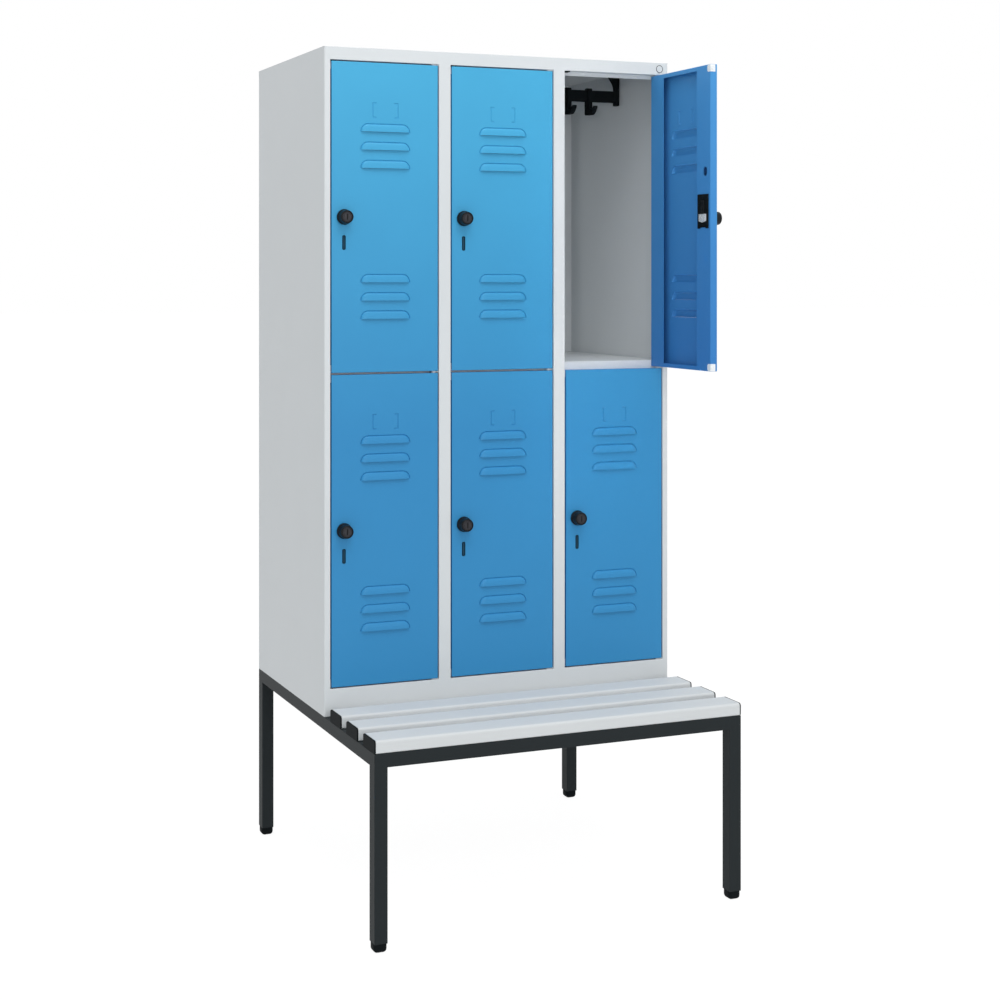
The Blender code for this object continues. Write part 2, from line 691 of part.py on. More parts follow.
def coat_rail_mesh(guides):
    """Coat rail that hangs from the ceiling. Its origin is under the ceiling, at the bar's middle."""
    half = RAIL_LENGTH / 2
    top, foot = -GAP, -BAR_DROP - BAR_HEIGHT - BRACKET_FOOT
    bm = bmesh.new()
    bar = add_box(
        bm,
        (-half + BRACKET_WIDTH / 2, -BAR_DEPTH / 2, -BAR_DROP - BAR_HEIGHT),
        (half - BRACKET_WIDTH / 2, BAR_DEPTH / 2, -BAR_DROP),
    )
    lengthwise = [edge for edge in bm.edges if abs((edge.verts[0].co - edge.verts[1].co).x) > BAR_HEIGHT]
    bmesh.ops.bevel(
        bm, geom=lengthwise, offset=BAR_ROUNDING, segments=FOLD_STEPS, profile=0.5,
        affect="EDGES", material=-1,
    )
    rail = add_object("rail", mesh_from(bm, "rail"), guides)
    for side in (-1, 1):
        bm = bmesh.new()
        outline = [
            (side * half, top),
            (side * (half - BRACKET_WIDTH - FLARE_LENGTH), top),
            (side * (half - BRACKET_WIDTH), top - FLARE_DROP),
            (side * (half - BRACKET_WIDTH), foot + BAR_ROUNDING),
            (side * (half - BRACKET_WIDTH + BAR_ROUNDING), foot),
            (side * (half - BAR_ROUNDING), foot),
            (side * half, foot + BAR_ROUNDING),
        ]
        face = bm.faces.new([bm.verts.new((x, -BRACKET_DEPTH / 2, z)) for x, z in outline])
        swept = bmesh.ops.extrude_face_region(bm, geom=[face])["geom"]
        far = [item for item in swept if isinstance(item, bmesh.types.BMVert)]
        bmesh.ops.translate(bm, verts=far, vec=(0, BRACKET_DEPTH, 0))
        bmesh.ops.recalc_face_normals(bm, faces=bm.faces)
        add_boolean(rail, add_object("bracket", mesh_from(bm, "bracket"), guides), "UNION")
    return baked_mesh(rail)


def coat_hook_mesh(guides):
    """Hook that hangs over the bar and slides along it. Its origin is that of the rail."""
    side = BAR_DEPTH / 2 + HOOK_CLEARANCE
    over, under = HOOK_CLEARANCE - BAR_DROP, -BAR_DROP - BAR_HEIGHT - HOOK_CLEARANCE
    floor = -BAR_DROP - BAR_HEIGHT - HOOK_DROP
    path = [
        (side - HOOK_UNDERLIP, under),
        (side, under),
        (side, over),
        (-side, over),
        (-side, floor),
        (-side - HOOK_REACH, floor),
        (-side - HOOK_REACH, floor + HOOK_TIP),
    ]
    radii = (HOOK_TOP_ROUNDING / 2, HOOK_TOP_ROUNDING, HOOK_TOP_ROUNDING, HOOK_ROUNDING, HOOK_ROUNDING)
    mesh = strip_mesh("hook", path, radii, -HOOK_WIDTH / 2, HOOK_WIDTH / 2, SECTION)
    hook = add_object("hook", mesh, guides)
    add_solidify(hook, HOOK_THICKNESS, 1)
    return baked_mesh(hook)


def frame_members(inset, leg_foot):
    """Low and high corners of the base frame's tubes, drawn in by an inset on all sides."""
    left, right = BODY_ORIGIN.x, BODY_ORIGIN.x + BODY_WIDTH
    front, rear = BODY_FRONT - BENCH_REACH, BODY_FRONT + BODY_DEPTH
    low, high = FRAME_HEIGHT - TUBE, FRAME_HEIGHT
    members = []
    for x in (left, right - TUBE):
        members.append(((x, front, low), (x + TUBE, rear, high)))
        for y in (front, rear - TUBE):
            members.append(((x, y, leg_foot + inset), (x + TUBE, y + TUBE, high)))
    for y in (front, BODY_FRONT, rear - TUBE):
        members.append(((left, y, low), (right, y + TUBE, high)))
    margin = Vector((inset, inset, inset))
    return [(Vector(start) + margin, Vector(end) - margin) for start, end in members]


def united_boxes(name, members, guides):
    """Join overlapping boxes into one solid."""
    solid = add_object(name, boxes_mesh(name, members[0]), guides)
    for index, corners in enumerate(members[1:]):
        part = f"{name}_{index}"
        add_boolean(solid, add_object(part, boxes_mesh(part, corners), guides), "UNION")
    return add_object(name, baked_mesh(solid), guides)


def base_frame(steel, parts, guides):
    """Welded frame of square tube, hollow and open at the legs' feet."""
    outer = united_boxes("frame_outside", frame_members(0, FOOT_HEIGHT), guides)
    inner = united_boxes("frame_inside", frame_members(TUBE_WALL, FOOT_HEIGHT - TUBE), guides)
    add_boolean(outer, inner, "DIFFERENCE")
    return add_object("base_frame", baked_mesh(outer), parts, steel)


def foot_mesh(guides):
    """Glide with a plug that fits in the leg. Its origin is on the floor, under the leg's middle."""
    bm = bmesh.new()
    add_box(bm, (-TUBE / 2, -TUBE / 2, 0), (TUBE / 2, TUBE / 2, FOOT_HEIGHT - GAP))
    edges = [edge for edge in bm.edges if min(vertex.co.z for vertex in edge.verts) < FOOT_ROUNDING]
    bmesh.ops.bevel(
        bm, geom=edges, offset=FOOT_ROUNDING, segments=FOOT_STEPS, profile=0.5, affect="EDGES", material=-1
    )
    foot = add_object("foot", mesh_from(bm, "foot"), guides)
    half = TUBE / 2 - TUBE_WALL - GAP
    plug = boxes_mesh("foot_plug", ((-half, -half, FOOT_HEIGHT / 2), (half, half, FOOT_HEIGHT + FOOT_PLUG)))
    add_boolean(foot, add_object("foot_plug", plug, guides), "UNION")
    return baked_mesh(foot)


def add_slat_block(bm, start, end, inset):
    """Add a length of the slat's rounded section, drawn in by an inset on all four sides."""
    verts = add_box(
        bm,
        (start, inset, inset),
        (end, SLAT_DEPTH - inset, SLAT_HEIGHT - inset),
    )
    edges = {edge for vertex in verts for edge in vertex.link_edges}
    middle = SLAT_HEIGHT / 2
    for radius, above in ((SLAT_TOP_RADIUS, True), (SLAT_BOTTOM_RADIUS, False)):
        chosen = [
            edge for edge in edges
            if edge.is_valid
            and edge.verts[0].co.x != edge.verts[1].co.x
            and (edge.verts[0].co.z > middle) == above
            and edge.calc_length() > abs(end - start) / 2
        ]
        bmesh.ops.bevel(
            bm, geom=chosen, offset=max(radius - inset, GAP), segments=SLAT_STEPS, profile=0.5,
            affect="EDGES", material=-1,
        )


def slat_mesh(guides):
    """Hollow slat, open at both ends. Its origin is at its left end, at its lower front edge."""
    start, end = CAP_THICKNESS + GAP, BODY_WIDTH - CAP_THICKNESS - GAP
    bm = bmesh.new()
    add_slat_block(bm, start, end, 0)
    bm.normal_update()
    ends = [face for face in bm.faces if abs(face.normal.x) > math.cos(SHARP_ANGLE)]
    bmesh.ops.delete(bm, geom=ends, context="FACES_ONLY")
    slat = add_object("slat", mesh_from(bm, "slat"), guides)
    add_solidify(slat, SLAT_WALL, -1)
    return baked_mesh(slat)


def slat_cap_mesh(side, guides):
    """Cap of a slat's left or right end, with a plug. Its origin is that of the slat."""
    outside = 0 if side == "left" else BODY_WIDTH
    inward = 1 if side == "left" else -1
    name = f"cap_{side}"
    bm = bmesh.new()
    add_slat_block(bm, *sorted((outside, outside + inward * CAP_THICKNESS)), 0)
    cap = add_object(name, mesh_from(bm, name), guides)
    bm = bmesh.new()
    reach = (outside + inward * CAP_THICKNESS / 2, outside + inward * (CAP_THICKNESS + CAP_PLUG))
    add_slat_block(bm, *sorted(reach), SLAT_WALL + GAP)
    add_boolean(cap, add_object(name + "_plug", mesh_from(bm, name + "_plug"), guides), "UNION")
    return baked_mesh(cap)


def build_bench(plastic, caps, parts, guides):
    """Three slats, evenly spaced from the bench's front edge, with a cap at each end."""
    slat = slat_mesh(guides)
    ends = {side: slat_cap_mesh(side, guides) for side in ("left", "right")}
    pitch = (BENCH_REACH - BENCH_BACK_GAP - SLAT_DEPTH) / (len(SLAT_NAMES) - 1)
    for index, name in enumerate(SLAT_NAMES):
        place = Vector((BODY_ORIGIN.x, BODY_FRONT - BENCH_REACH + index * pitch, FRAME_HEIGHT + GAP))
        add_object(f"slat_{name}", slat, parts, plastic, place)
        for side, mesh in ends.items():
            add_object(f"slat_cap_{name}_{side}", mesh, parts, caps, place)


def build_feet(plastic, parts, guides):
    """One glide under each leg."""
    mesh = foot_mesh(guides)
    far = BODY_WIDTH / 2 - TUBE / 2
    rows = {"front": BODY_FRONT - BENCH_REACH + TUBE / 2, "rear": BODY_FRONT + BODY_DEPTH - TUBE / 2}
    for row, y in rows.items():
        for side, x in (("left", -far), ("right", far)):
            add_object(f"foot_{row}_{side}", mesh, parts, plastic, (x, y, 0))


def build_body(steel, parts, guides):
    """Walls, partitions, top, bottom, back and shelves."""
    side_panel("side_left", False, steel, parts)
    right = side_panel("side_right", True, steel, parts)
    hinged = [
        partition_panel(f"partition_{name}", COLUMN_PITCH * (index + 1), steel, parts, guides)
        for index, name in enumerate(("left", "right"))
    ]
    for column, panel in enumerate([*hinged, right]):
        add_hinges(panel, column, guides)
    top_panel(steel, parts, guides)
    bottom_panel(steel, parts, guides)
    back_panel(steel, parts)
    mesh = shelf_mesh(guides)
    for column, name in enumerate(COLUMN_NAMES):
        place = BODY_ORIGIN + Vector((column * COLUMN_PITCH, 0, 0))
        add_object(f"shelf_{name}", mesh, parts, steel, place)


def build_doors(materials, parts, guides):
    """Doors on their hinge axes, each with its lock case and the rotor on its own axis."""
    door, case, rotor = door_mesh(guides), lock_case_mesh(guides), lock_rotor_mesh(guides)
    for column, column_name in enumerate(COLUMN_NAMES):
        axis = COLUMN_PITCH * (column + 1) - STILE_WIDTH / 2 - HINGE_INSET
        for tier, tier_name in enumerate(TIER_NAMES):
            place = f"{column_name}_{tier_name}"
            bottom = BOTTOM_FASCIA + DOOR_GAP + tier * (DOOR_HEIGHT + TIER_GAP)
            turn = OPEN_ANGLE if (column_name, tier_name) == OPEN_DOOR else 0.0
            hinge = add_empty(
                f"hinge_{place}", parts, BODY_ORIGIN + Vector((axis, HINGE_BACK, bottom)), turn
            )
            lock = add_empty(f"lock_{place}", parts, (LOCK_X, DOOR_FACE, LOCK_Z), parent=hinge)
            add_object(f"door_{place}", door, parts, materials["door"], parent=hinge)
            add_object(f"lock_case_{place}", case, parts, materials["black"], parent=hinge)
            add_object(f"lock_rotor_{place}", rotor, parts, materials["knob"], parent=lock)


def build_rails(plastic, parts, guides):
    """Coat rail and hooks of each compartment, under the ceiling or under the shelf above."""
    rail, hook = coat_rail_mesh(guides), coat_hook_mesh(guides)
    ceilings = (SHELF_TOP - SHEET, CEILING)
    for column, column_name in enumerate(COLUMN_NAMES):
        middle = COLUMN_PITCH * (column + 1 / 2)
        for tier_name, ceiling in zip(TIER_NAMES, ceilings):
            place = BODY_ORIGIN + Vector((middle, RAIL_SETBACK, ceiling))
            add_object(f"coat_rail_{column_name}_{tier_name}", rail, parts, plastic, place)
            for number, offset in enumerate(HOOK_OFFSETS, 1):
                name = f"coat_hook_{column_name}_{tier_name}_{number}"
                add_object(name, hook, parts, plastic, place + Vector((offset, 0, 0)))


def main():
    """Build the whole locker."""
    clear_scene()
    parts = make_collection("double_tier_locker")
    guides = make_collection("cutters")
    steel = make_material("light_grey_powder_coat", (0.62, 0.64, 0.65), 0.45)
    materials = {
        "door": make_material("blue_powder_coat", (0.07, 0.33, 0.66), 0.40),
        "black": make_material("black_lock_plastic", (0.012, 0.013, 0.015), 0.45),
        "knob": make_material("black_knob_plastic", (0.010, 0.010, 0.012), 0.35),
    }
    frame_paint = make_material("anthracite_powder_coat", (0.030, 0.034, 0.036), 0.50)
    slat_plastic = make_material("light_grey_slat_plastic", (0.62, 0.65, 0.67), 0.45)
    black_plastic = make_material("black_moulded_plastic", (0.014, 0.015, 0.017), 0.50)
    build_body(steel, parts, guides)
    build_doors(materials, parts, guides)
    build_rails(black_plastic, parts, guides)
    base_frame(frame_paint, parts, guides)
    build_feet(black_plastic, parts, guides)
    build_bench(slat_plastic, black_plastic, parts, guides)


main()
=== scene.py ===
"""Looks of a double tier locker: a steel body with six doors on a frame that carries a bench."""

import json
import math

import bmesh
import bpy
from bpy.props import FloatProperty, FloatVectorProperty, PointerProperty
from bpy.types import Operator, Panel, PropertyGroup
from mathutils import Matrix, Vector


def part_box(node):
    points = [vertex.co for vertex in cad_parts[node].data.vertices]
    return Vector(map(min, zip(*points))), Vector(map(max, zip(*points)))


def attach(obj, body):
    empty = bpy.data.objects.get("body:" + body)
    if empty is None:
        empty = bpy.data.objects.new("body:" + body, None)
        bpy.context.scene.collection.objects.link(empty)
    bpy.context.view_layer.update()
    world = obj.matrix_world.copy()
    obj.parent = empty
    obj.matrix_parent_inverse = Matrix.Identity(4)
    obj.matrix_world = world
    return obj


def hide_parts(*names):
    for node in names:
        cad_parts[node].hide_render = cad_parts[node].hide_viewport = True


bl_info = {
    "name": "Double Tier Locker",
    "version": (1, 0, 0),
    "blender": (4, 5, 0),
    "location": "View3D > Sidebar > Locker",
    "description": "Builds the painted steel, plastic and metal pieces of a locker with a bench",
    "category": "Add Mesh",
}

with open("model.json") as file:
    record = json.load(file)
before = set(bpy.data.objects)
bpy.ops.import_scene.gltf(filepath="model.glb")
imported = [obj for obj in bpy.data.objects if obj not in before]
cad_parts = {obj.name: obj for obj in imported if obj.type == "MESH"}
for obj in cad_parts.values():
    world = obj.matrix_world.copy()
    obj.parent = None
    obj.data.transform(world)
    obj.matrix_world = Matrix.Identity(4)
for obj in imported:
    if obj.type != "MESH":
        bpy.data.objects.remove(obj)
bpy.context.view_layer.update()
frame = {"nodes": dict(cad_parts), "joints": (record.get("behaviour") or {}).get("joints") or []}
JOINTS = {joint["name"]: joint for joint in frame["joints"]}

COLUMNS = ("left", "middle", "right")
TIERS = ("lower", "upper")
PLACES = [f"{column}_{tier}" for column in COLUMNS for tier in TIERS]
OPEN_PLACE = "right_upper"

# The steel body, measured from its lower left front corner
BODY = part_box("side_left")[0]
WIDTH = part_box("side_right")[1].x - BODY.x
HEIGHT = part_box("top_panel")[1].z - BODY.z
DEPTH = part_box("side_left")[1].y - BODY.y
PITCH = WIDTH / len(COLUMNS)
SHEET = 0.001
STILE = 0.030
STILE_DEPTH = 0.018
STILE_GAP = 0.003
REAR_FLANGE = 0.015
PARTITION_FLANGE = 0.012
BASE_FLANGE = 0.030
TOP_FASCIA = 0.030
OPENING_TOP = HEIGHT - TOP_FASCIA
OPENING_BOTTOM = 0.062
STOP_FACE = 0.0185
STOP_LIP = 0.013
TOP_LIP = 0.0095
HEM = 0.003
HEM_RADIUS = 0.0012
BOTTOM_INSET = 0.0012
SHELF_INSET = 0.0013
# The return over the doors is cut away at the left of each column, the stop lip at its right
RETURN_NOTCH = 0.017
LIP_NOTCH = 0.022
# The cuts stay this clear of the folds
FOLD_MARGIN = 0.0022
# The walls end inside the thickness of the top sheet
PANEL_TOP = HEIGHT - SHEET * 0.9
SHELF_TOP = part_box("shelf_left")[1].z - BODY.z
SHELF_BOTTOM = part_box("shelf_left")[0].z - BODY.z
SHELF_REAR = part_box("shelf_left")[1].y - BODY.y
BOTTOM_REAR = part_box("bottom_panel")[1].y - BODY.y

# One door, measured from its hinge axis and its lower edge
DOOR_LEFT = -0.255
DOOR_RIGHT = 0.009
DOOR_FRONT = -0.007
DOOR_REAR = 0.011
DOOR_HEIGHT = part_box("door_left_upper")[1].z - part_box("door_left_upper")[0].z
DOOR_MIDDLE = (DOOR_LEFT + DOOR_RIGHT) / 2
LOCK_X = -0.225
LOCK_Z = DOOR_HEIGHT / 2
SLOT_Z = 0.2982
LOUVRE_BASES = (0.1230, 0.1650, 0.2070, 0.4700, 0.5120, 0.5540)
LABEL_Z = 0.604
LABEL_ARM = 0.010
DOOR_GAP = 0.003
# From the stile to the hinge axis, and from the body's front to it
HINGE_INSET = 0.012
HINGE_DEPTH = 0.007
BUFFER_MIDDLE = 0.0090
BUFFER_HALF = 0.0084
KNOB_STEPS = 60

# Cut-outs of a door: width, height and corner radius
SLOT = (0.0090, 0.034, 0.0036)
KNOB_HOLE = (0.0162, 0.0162, 0.0081)
REAR_OPENING = (DOOR_RIGHT - DOOR_LEFT - 0.116, DOOR_HEIGHT - 0.020, 0.002)
CASE_OPENING = (0.0416, 0.0756, 0.001)
FLANGE_HOLE = (0.015, 0.022, 0.0074)

# Coat rails and hooks. The top of the bar is measured down from the ceiling
BAR_TOP = 0.0437
BAR_HEIGHT = 0.030
BAR_DEPTH = 0.010
BAR_END_GAP = 0.005
BRACKET = 0.012
HOOK_WIDTH = 0.012

GLIDE_HEIGHT = 0.0187
GLIDE_RADIUS = 0.0085
# Where an end cap starts and ends, outward from the end of its slat
CAP_GAP = 0.0001
CAP_REACH = 0.0033
# Middle of the badge, from the body's right side and from its top
BADGE_INSET = 0.024
BADGE_DROP = 0.0153
BADGE_SINK = 0.0002

# Keeps a path in the plane of the floor, and its sweep upright
PLAN = Matrix.Identity(4)
# Turns a path's first two coordinates into depth and height, and its sweep into width
SECTION = Matrix(((0, 0, 1, 0), (1, 0, 0, 0), (0, 1, 0, 0), (0, 0, 0, 1)))
# Turns a shape made along Z so that its top faces the front
FACING_FRONT = Matrix.Rotation(math.radians(90), 4, "X")
SHARP_ANGLE = math.radians(38)
MERGE_DISTANCE = 0.00001
# Edges are picked out by their place to within this length
NEAR = 0.001

# Width and depth of the orange peel in the body's and the doors' powder coat
PEEL = (0.0022, 0.00010)
# The finish of each material slot, where a piece names no other
SLOT_FINISHES = {
    "cabinet_paint": "light_grey_powder_coat",
    "door_paint": "blue_powder_coat",
    "frame_paint": "anthracite_powder_coat",
    "slat_plastic": "extruded_slat_plastic",
    "black_plastic": "black_moulded_plastic",
    "lock_plastic": "black_knob_plastic",
}


def linear(hex_colour):
    """Scene-linear red, green and blue of an sRGB hex colour."""
    channels = [int(hex_colour[start:start + 2], 16) / 255 for start in (1, 3, 5)]
    return tuple(c / 12.92 if c <= 0.04045 else ((c + 0.055) / 1.055) ** 2.4 for c in channels)


def length(name, description, default):
    """A length that the user can change, in metres."""
    return FloatProperty(
        name=name, description=description, default=default, min=0.0001, precision=4, unit="LENGTH"
    )


def colour(name, description, default):
    """A colour that the user can change, with its default as an sRGB hex value."""
    return FloatVectorProperty(
        name=name, description=description, default=linear(default), min=0.0, max=1.0, subtype="COLOR"
    )


class LockerSizes(PropertyGroup):
    """Sizes of the details that the frame leaves open."""

    fold_radius: length("Fold radius", "Outer radius of the folds in the steel sheet", 0.0014)
    corner_radius: length("Corner radius", "Radius of the body's two front corners", 0.0040)
    door_radius: length("Door edge radius", "Radius round the edges of the door leaves", 0.0010)
    louvre_length: length("Louvre length", "Length of one louvre", 0.120)
    louvre_height: length("Louvre height", "Height of one louvre", 0.0172)
    louvre_bulge: length("Louvre bulge", "How far a louvre stands out of the door", 0.0048)
    label_width: length("Label width", "Width of the embossed label frame", 0.065)
    label_height: length("Label height", "Height of the embossed label frame", 0.036)
    label_line: length("Label line", "Width of the embossed label lines", 0.0028)
    label_depth: length("Label depth", "How far the label lines are pressed in", 0.0012)
    knob_radius: length("Knob radius", "Radius of the lock's turning knob", 0.018)
    knob_reach: length("Knob reach", "How far the knob stands out of the door", 0.024)
    tube_radius: length("Tube radius", "Radius along the edges of the square tube", 0.0020)
    badge_radius: length("Badge radius", "Radius of the plain round badge", 0.0093)
    badge_height: length("Badge height", "How far the badge stands out of the body", 0.0012)


class LockerColours(PropertyGroup):
    """Colours of the finishes."""

    body: colour("Body", "Light grey powder coat of the body", "#d3d7d9")
    # The two door blues paint the light from above: lighter towards the top of the locker, darker
    # towards the bottom
    door_lit_top: colour("Door, high", "Blue powder coat towards the top of the locker", "#48a9d3")
    door_shaded_bottom: colour("Door, low", "Blue powder coat towards the bottom of the locker", "#3487bc")
    tube: colour("Frame", "Anthracite powder coat of the base frame", "#252a2c")
    slat: colour("Slats", "Light grey plastic of the bench slats", "#d0d3d4")
    black: colour("Black plastic", "Caps, feet, rails, hooks and lock cases", "#15191b")
    knob: colour("Knobs", "Black plastic of the turning knobs", "#0f1113")
    zinc: colour("Zinc", "Zinc-plated steel of the lock's follower", "#f4f6f7")
    barrel: colour("Key barrel", "Worn dark metal of the key barrels", "#3b3b3f")
    buffer: colour("Buffers", "White plastic of the door buffers", "#e9edef")
    # Dark grey-blue of the slot blanks, which paints the shade inside the slots
    blank: colour("Slot blanks", "Grey plastic behind the slots of the doors", "#2b4b5e")


def add_node(tree, kind, settings=None, values=None, links=None):
    """Add a node with its settings, its socket values and the sockets that feed it."""
    node = tree.nodes.new(kind)
    for name, value in (settings or {}).items():
        setattr(node, name, value)
    for name, value in (values or {}).items():
        node.inputs[name].default_value = value
    for name, socket in (links or {}).items():
        tree.links.new(socket, node.inputs[name])
    return node


def emptied_tree(owner):
    """The node tree of a new material or world, without its nodes."""
    owner.use_nodes = True
    owner.node_tree.nodes.clear()
    return owner.node_tree


def new_material(name):
    """A material with an empty node tree, its shader and its object coordinates."""
    material = bpy.data.materials.new(name)
    tree = emptied_tree(material)
    shader = add_node(tree, "ShaderNodeBsdfPrincipled")
    add_node(tree, "ShaderNodeOutputMaterial", links={"Surface": shader.outputs["BSDF"]})
    place = add_node(tree, "ShaderNodeTexCoord").outputs["Object"]
    return material, tree, shader, place


def grain(tree, place, size, detail, stretch=(1, 1, 1)):
    """Noise whose spots are about size metres across, stretched along the axes."""
    mapped = add_node(tree, "ShaderNodeMapping", values={"Scale": stretch}, links={"Vector": place})
    return add_node(
        tree, "ShaderNodeTexNoise",
        values={"Scale": 1 / size, "Detail": detail, "Roughness": 0.55},
        links={"Vector": mapped.outputs["Vector"]},
    ).outputs["Fac"]


def spread(tree, source, low, high):
    """Map a source that runs from 0.3 to 0.7 onto a range."""
    return add_node(
        tree, "ShaderNodeMapRange",
        values={"From Min": 0.3, "From Max": 0.7, "To Min": low, "To Max": high},
        links={"Value": source},
    ).outputs["Result"]


def tinted(tree, factor, first, second):
    """Blend two colours by a factor. A colour is a value or a socket."""
    mixed = add_node(tree, "ShaderNodeMix", {"data_type": "RGBA"}, links={"Factor": factor})
    for socket, value in ((mixed.inputs[6], first), (mixed.inputs[7], second)):
        if isinstance(value, bpy.types.NodeSocket):
            tree.links.new(value, socket)
        else:
            socket.default_value = (*value, 1.0)
    return mixed.outputs[2]


def shaded(value, share):
    """A colour made darker or lighter by a share."""
    return tuple(channel * share for channel in value)


def set_surface(tree, shader, tint, roughness, relief, strength, distance):
    """Feed a shader its colour, its roughness and a relief that is distance high."""
    normal = add_node(
        tree, "ShaderNodeBump", values={"Strength": strength, "Distance": distance},
        links={"Height": relief},
    ).outputs["Normal"]
    for name, socket in (("Base Color", tint), ("Roughness", roughness), ("Normal", normal)):
        tree.links.new(socket, shader.inputs[name])


def powder_coat(name, high, low, roughness, gloss, peel_size, peel_depth):
    """Epoxy-polyester powder coat, sprayed and baked on steel.

    It gives the eye an even colour with a soft sheen, broken by fine orange peel. The colour runs
    from low to high up the body, as the coat catches more of the light from above.
    """
    material, tree, shader, place = new_material(name)
    # Painted light: the coat runs from its low colour to its high colour up the body, for the light from
    # above
    height = add_node(tree, "ShaderNodeSeparateXYZ", links={"Vector": place}).outputs["Z"]
    rise = add_node(
        tree, "ShaderNodeMapRange",
        values={"From Min": BODY.z + HEIGHT * 0.42, "From Max": BODY.z + HEIGHT},
        links={"Value": height},
    ).outputs["Result"]
    coat = tinted(tree, rise, low, high)
    # Film thickness varies over a hand's breadth
    film = spread(tree, grain(tree, place, 0.12, 2), 0.0, 0.06)
    thin = tinted(tree, film, coat, shaded(low, 0.8))
    # Orange peel is about 1 mm wide on the real coat, drawn here as wide as it needs to show
    peel = grain(tree, place, peel_size, 2)
    shader.inputs["Specular IOR Level"].default_value = gloss
    sheen = spread(tree, peel, roughness - 0.03, roughness + 0.03)
    set_surface(tree, shader, thin, sheen, peel, 0.25, peel_depth)
    return material


def extruded_plastic(name, base):
    """Rigid PVC, extruded along X.

    It gives the eye a soft satin sheen with very fine draw lines along the slat.
    """
    material, tree, shader, place = new_material(name)
    # The draw lines are a few tenths of a millimetre wide, drawn here as wide as they need to show
    lines = grain(tree, place, 0.0016, 1, (0.004, 1, 1))
    cloud = grain(tree, place, 0.20, 1)
    tint = tinted(tree, spread(tree, cloud, 0.0, 0.25), base, shaded(base, 0.95))
    streaks = tinted(tree, spread(tree, lines, 0.0, 0.20), tint, shaded(base, 0.93))
    shader.inputs["Specular IOR Level"].default_value = 0.05
    sheen = spread(tree, lines, 0.46, 0.54)
    set_surface(tree, shader, streaks, sheen, lines, 0.25, 0.0002)
    return material


def moulded_plastic(name, base, roughness, gloss, texture_size):
    """Polyamide moulded in a spark-eroded tool.

    It gives the eye a fine matt texture with softly shining high spots.
    """
    material, tree, shader, place = new_material(name)
    texture = grain(tree, place, texture_size, 3)
    tint = tinted(tree, spread(tree, texture, 0.0, 1.0), shaded(base, 0.86), shaded(base, 1.12))
    shader.inputs["Specular IOR Level"].default_value = gloss
    sheen = spread(tree, texture, roughness + 0.06, roughness - 0.06)
    set_surface(tree, shader, tint, sheen, texture, 0.35, 0.00015)
    return material


def plated_metal(name, base, metallic, roughness, scratch_size):
    """Stamped steel with a bright zinc plating, or a turned barrel.

    It gives the eye sharp bright facets that fine handling scratches break up.
    """
    material, tree, shader, place = new_material(name)
    scratches = grain(tree, place, scratch_size, 4, (1, 1, 0.15))
    spangle = grain(tree, place, 0.004, 2)
    tint = tinted(tree, spread(tree, spangle, 0.0, 1.0), shaded(base, 0.80), base)
    shader.inputs["Metallic"].default_value = metallic
    sheen = spread(tree, scratches, roughness - 0.08, roughness + 0.10)
    set_surface(tree, shader, tint, sheen, scratches, 0.2, 0.0001)
    return material


def finish(name):
    """The material of one finish, made the first time that it is asked for."""
    known = bpy.data.materials.get(name)
    if known:
        return known
    tint = bpy.context.scene.locker_colours
    # The doors' high and low blues are painted light, lighter where the light from above falls
    high, low = Vector(tint.door_lit_top), Vector(tint.door_shaded_bottom)
    # The rear of the doors is painted a deeper blue: painted shade, for the shade on the inner faces of
    # the open door
    rear = Vector((1.06, 0.75, 0.98))
    # Each finish has its maker and the maker's values, in the order of its parameters
    finishes = {
        # The light grey's low colour is 2% darker: painted shade towards the bottom of the body
        "light_grey_powder_coat": (powder_coat, tint.body, shaded(tint.body, 0.98), 0.42, 0.22, *PEEL),
        "blue_powder_coat": (powder_coat, high, low, 0.38, 0.20, *PEEL),
        "blue_powder_coat_rear": (powder_coat, rear * high, rear * low, 0.40, 0.15, *PEEL),
        "anthracite_powder_coat": (powder_coat, tint.tube, tint.tube, 0.50, 0.10, 0.0016, 0.00016),
        "extruded_slat_plastic": (extruded_plastic, tint.slat),
        "black_moulded_plastic": (moulded_plastic, tint.black, 0.52, 0.03, 0.0011),
        "black_knob_plastic": (moulded_plastic, tint.knob, 0.34, 0.20, 0.0009),
        "white_buffer_plastic": (moulded_plastic, tint.buffer, 0.40, 0.35, 0.0012),
        # Painted shade: the slot blanks' dark plastic stands for the shade inside the slots
        "grey_blank_plastic": (moulded_plastic, tint.blank, 0.50, 0.03, 0.0012),
        "zinc_plated_steel": (plated_metal, tint.zinc, 0.45, 0.24, 0.0006),
        "dark_barrel_metal": (plated_metal, tint.barrel, 0.8, 0.42, 0.0005),
    }
    maker, *values = finishes[name]
    return maker(name, *values)


def bevel(bm, geom, width, segments, affect="EDGES", clamped=False):
    """Round edges or vertices off."""
    bmesh.ops.bevel(
        bm, geom=geom, offset=width, segments=segments, profile=0.5, affect=affect,
        clamp_overlap=clamped, material=-1,
    )


def push(bm, swept, way):
    """Move the new vertices of an extrusion and return them."""
    far = [item for item in swept["geom"] if isinstance(item, bmesh.types.BMVert)]
    bmesh.ops.translate(bm, verts=far, vec=way)
    return far


def fill(bm, loops, normal):
    """Fill closed loops of edges with flat faces. The inner loops stay open."""
    bmesh.ops.triangle_fill(bm, use_beauty=True, use_dissolve=False, edges=loops, normal=normal)


def placed(bm, matrix):
    """Move the whole of a bmesh by a matrix and return it."""
    bmesh.ops.transform(bm, matrix=matrix, verts=bm.verts)
    return bm


def run(edge):
    """How far an edge runs along each axis."""
    return edge.verts[0].co - edge.verts[1].co


def sharp_edges(bm):
    """The edges of a closed shape whose faces meet at a sharp angle."""
    return [edge for edge in bm.edges if edge.calc_face_angle(0) > SHARP_ANGLE]


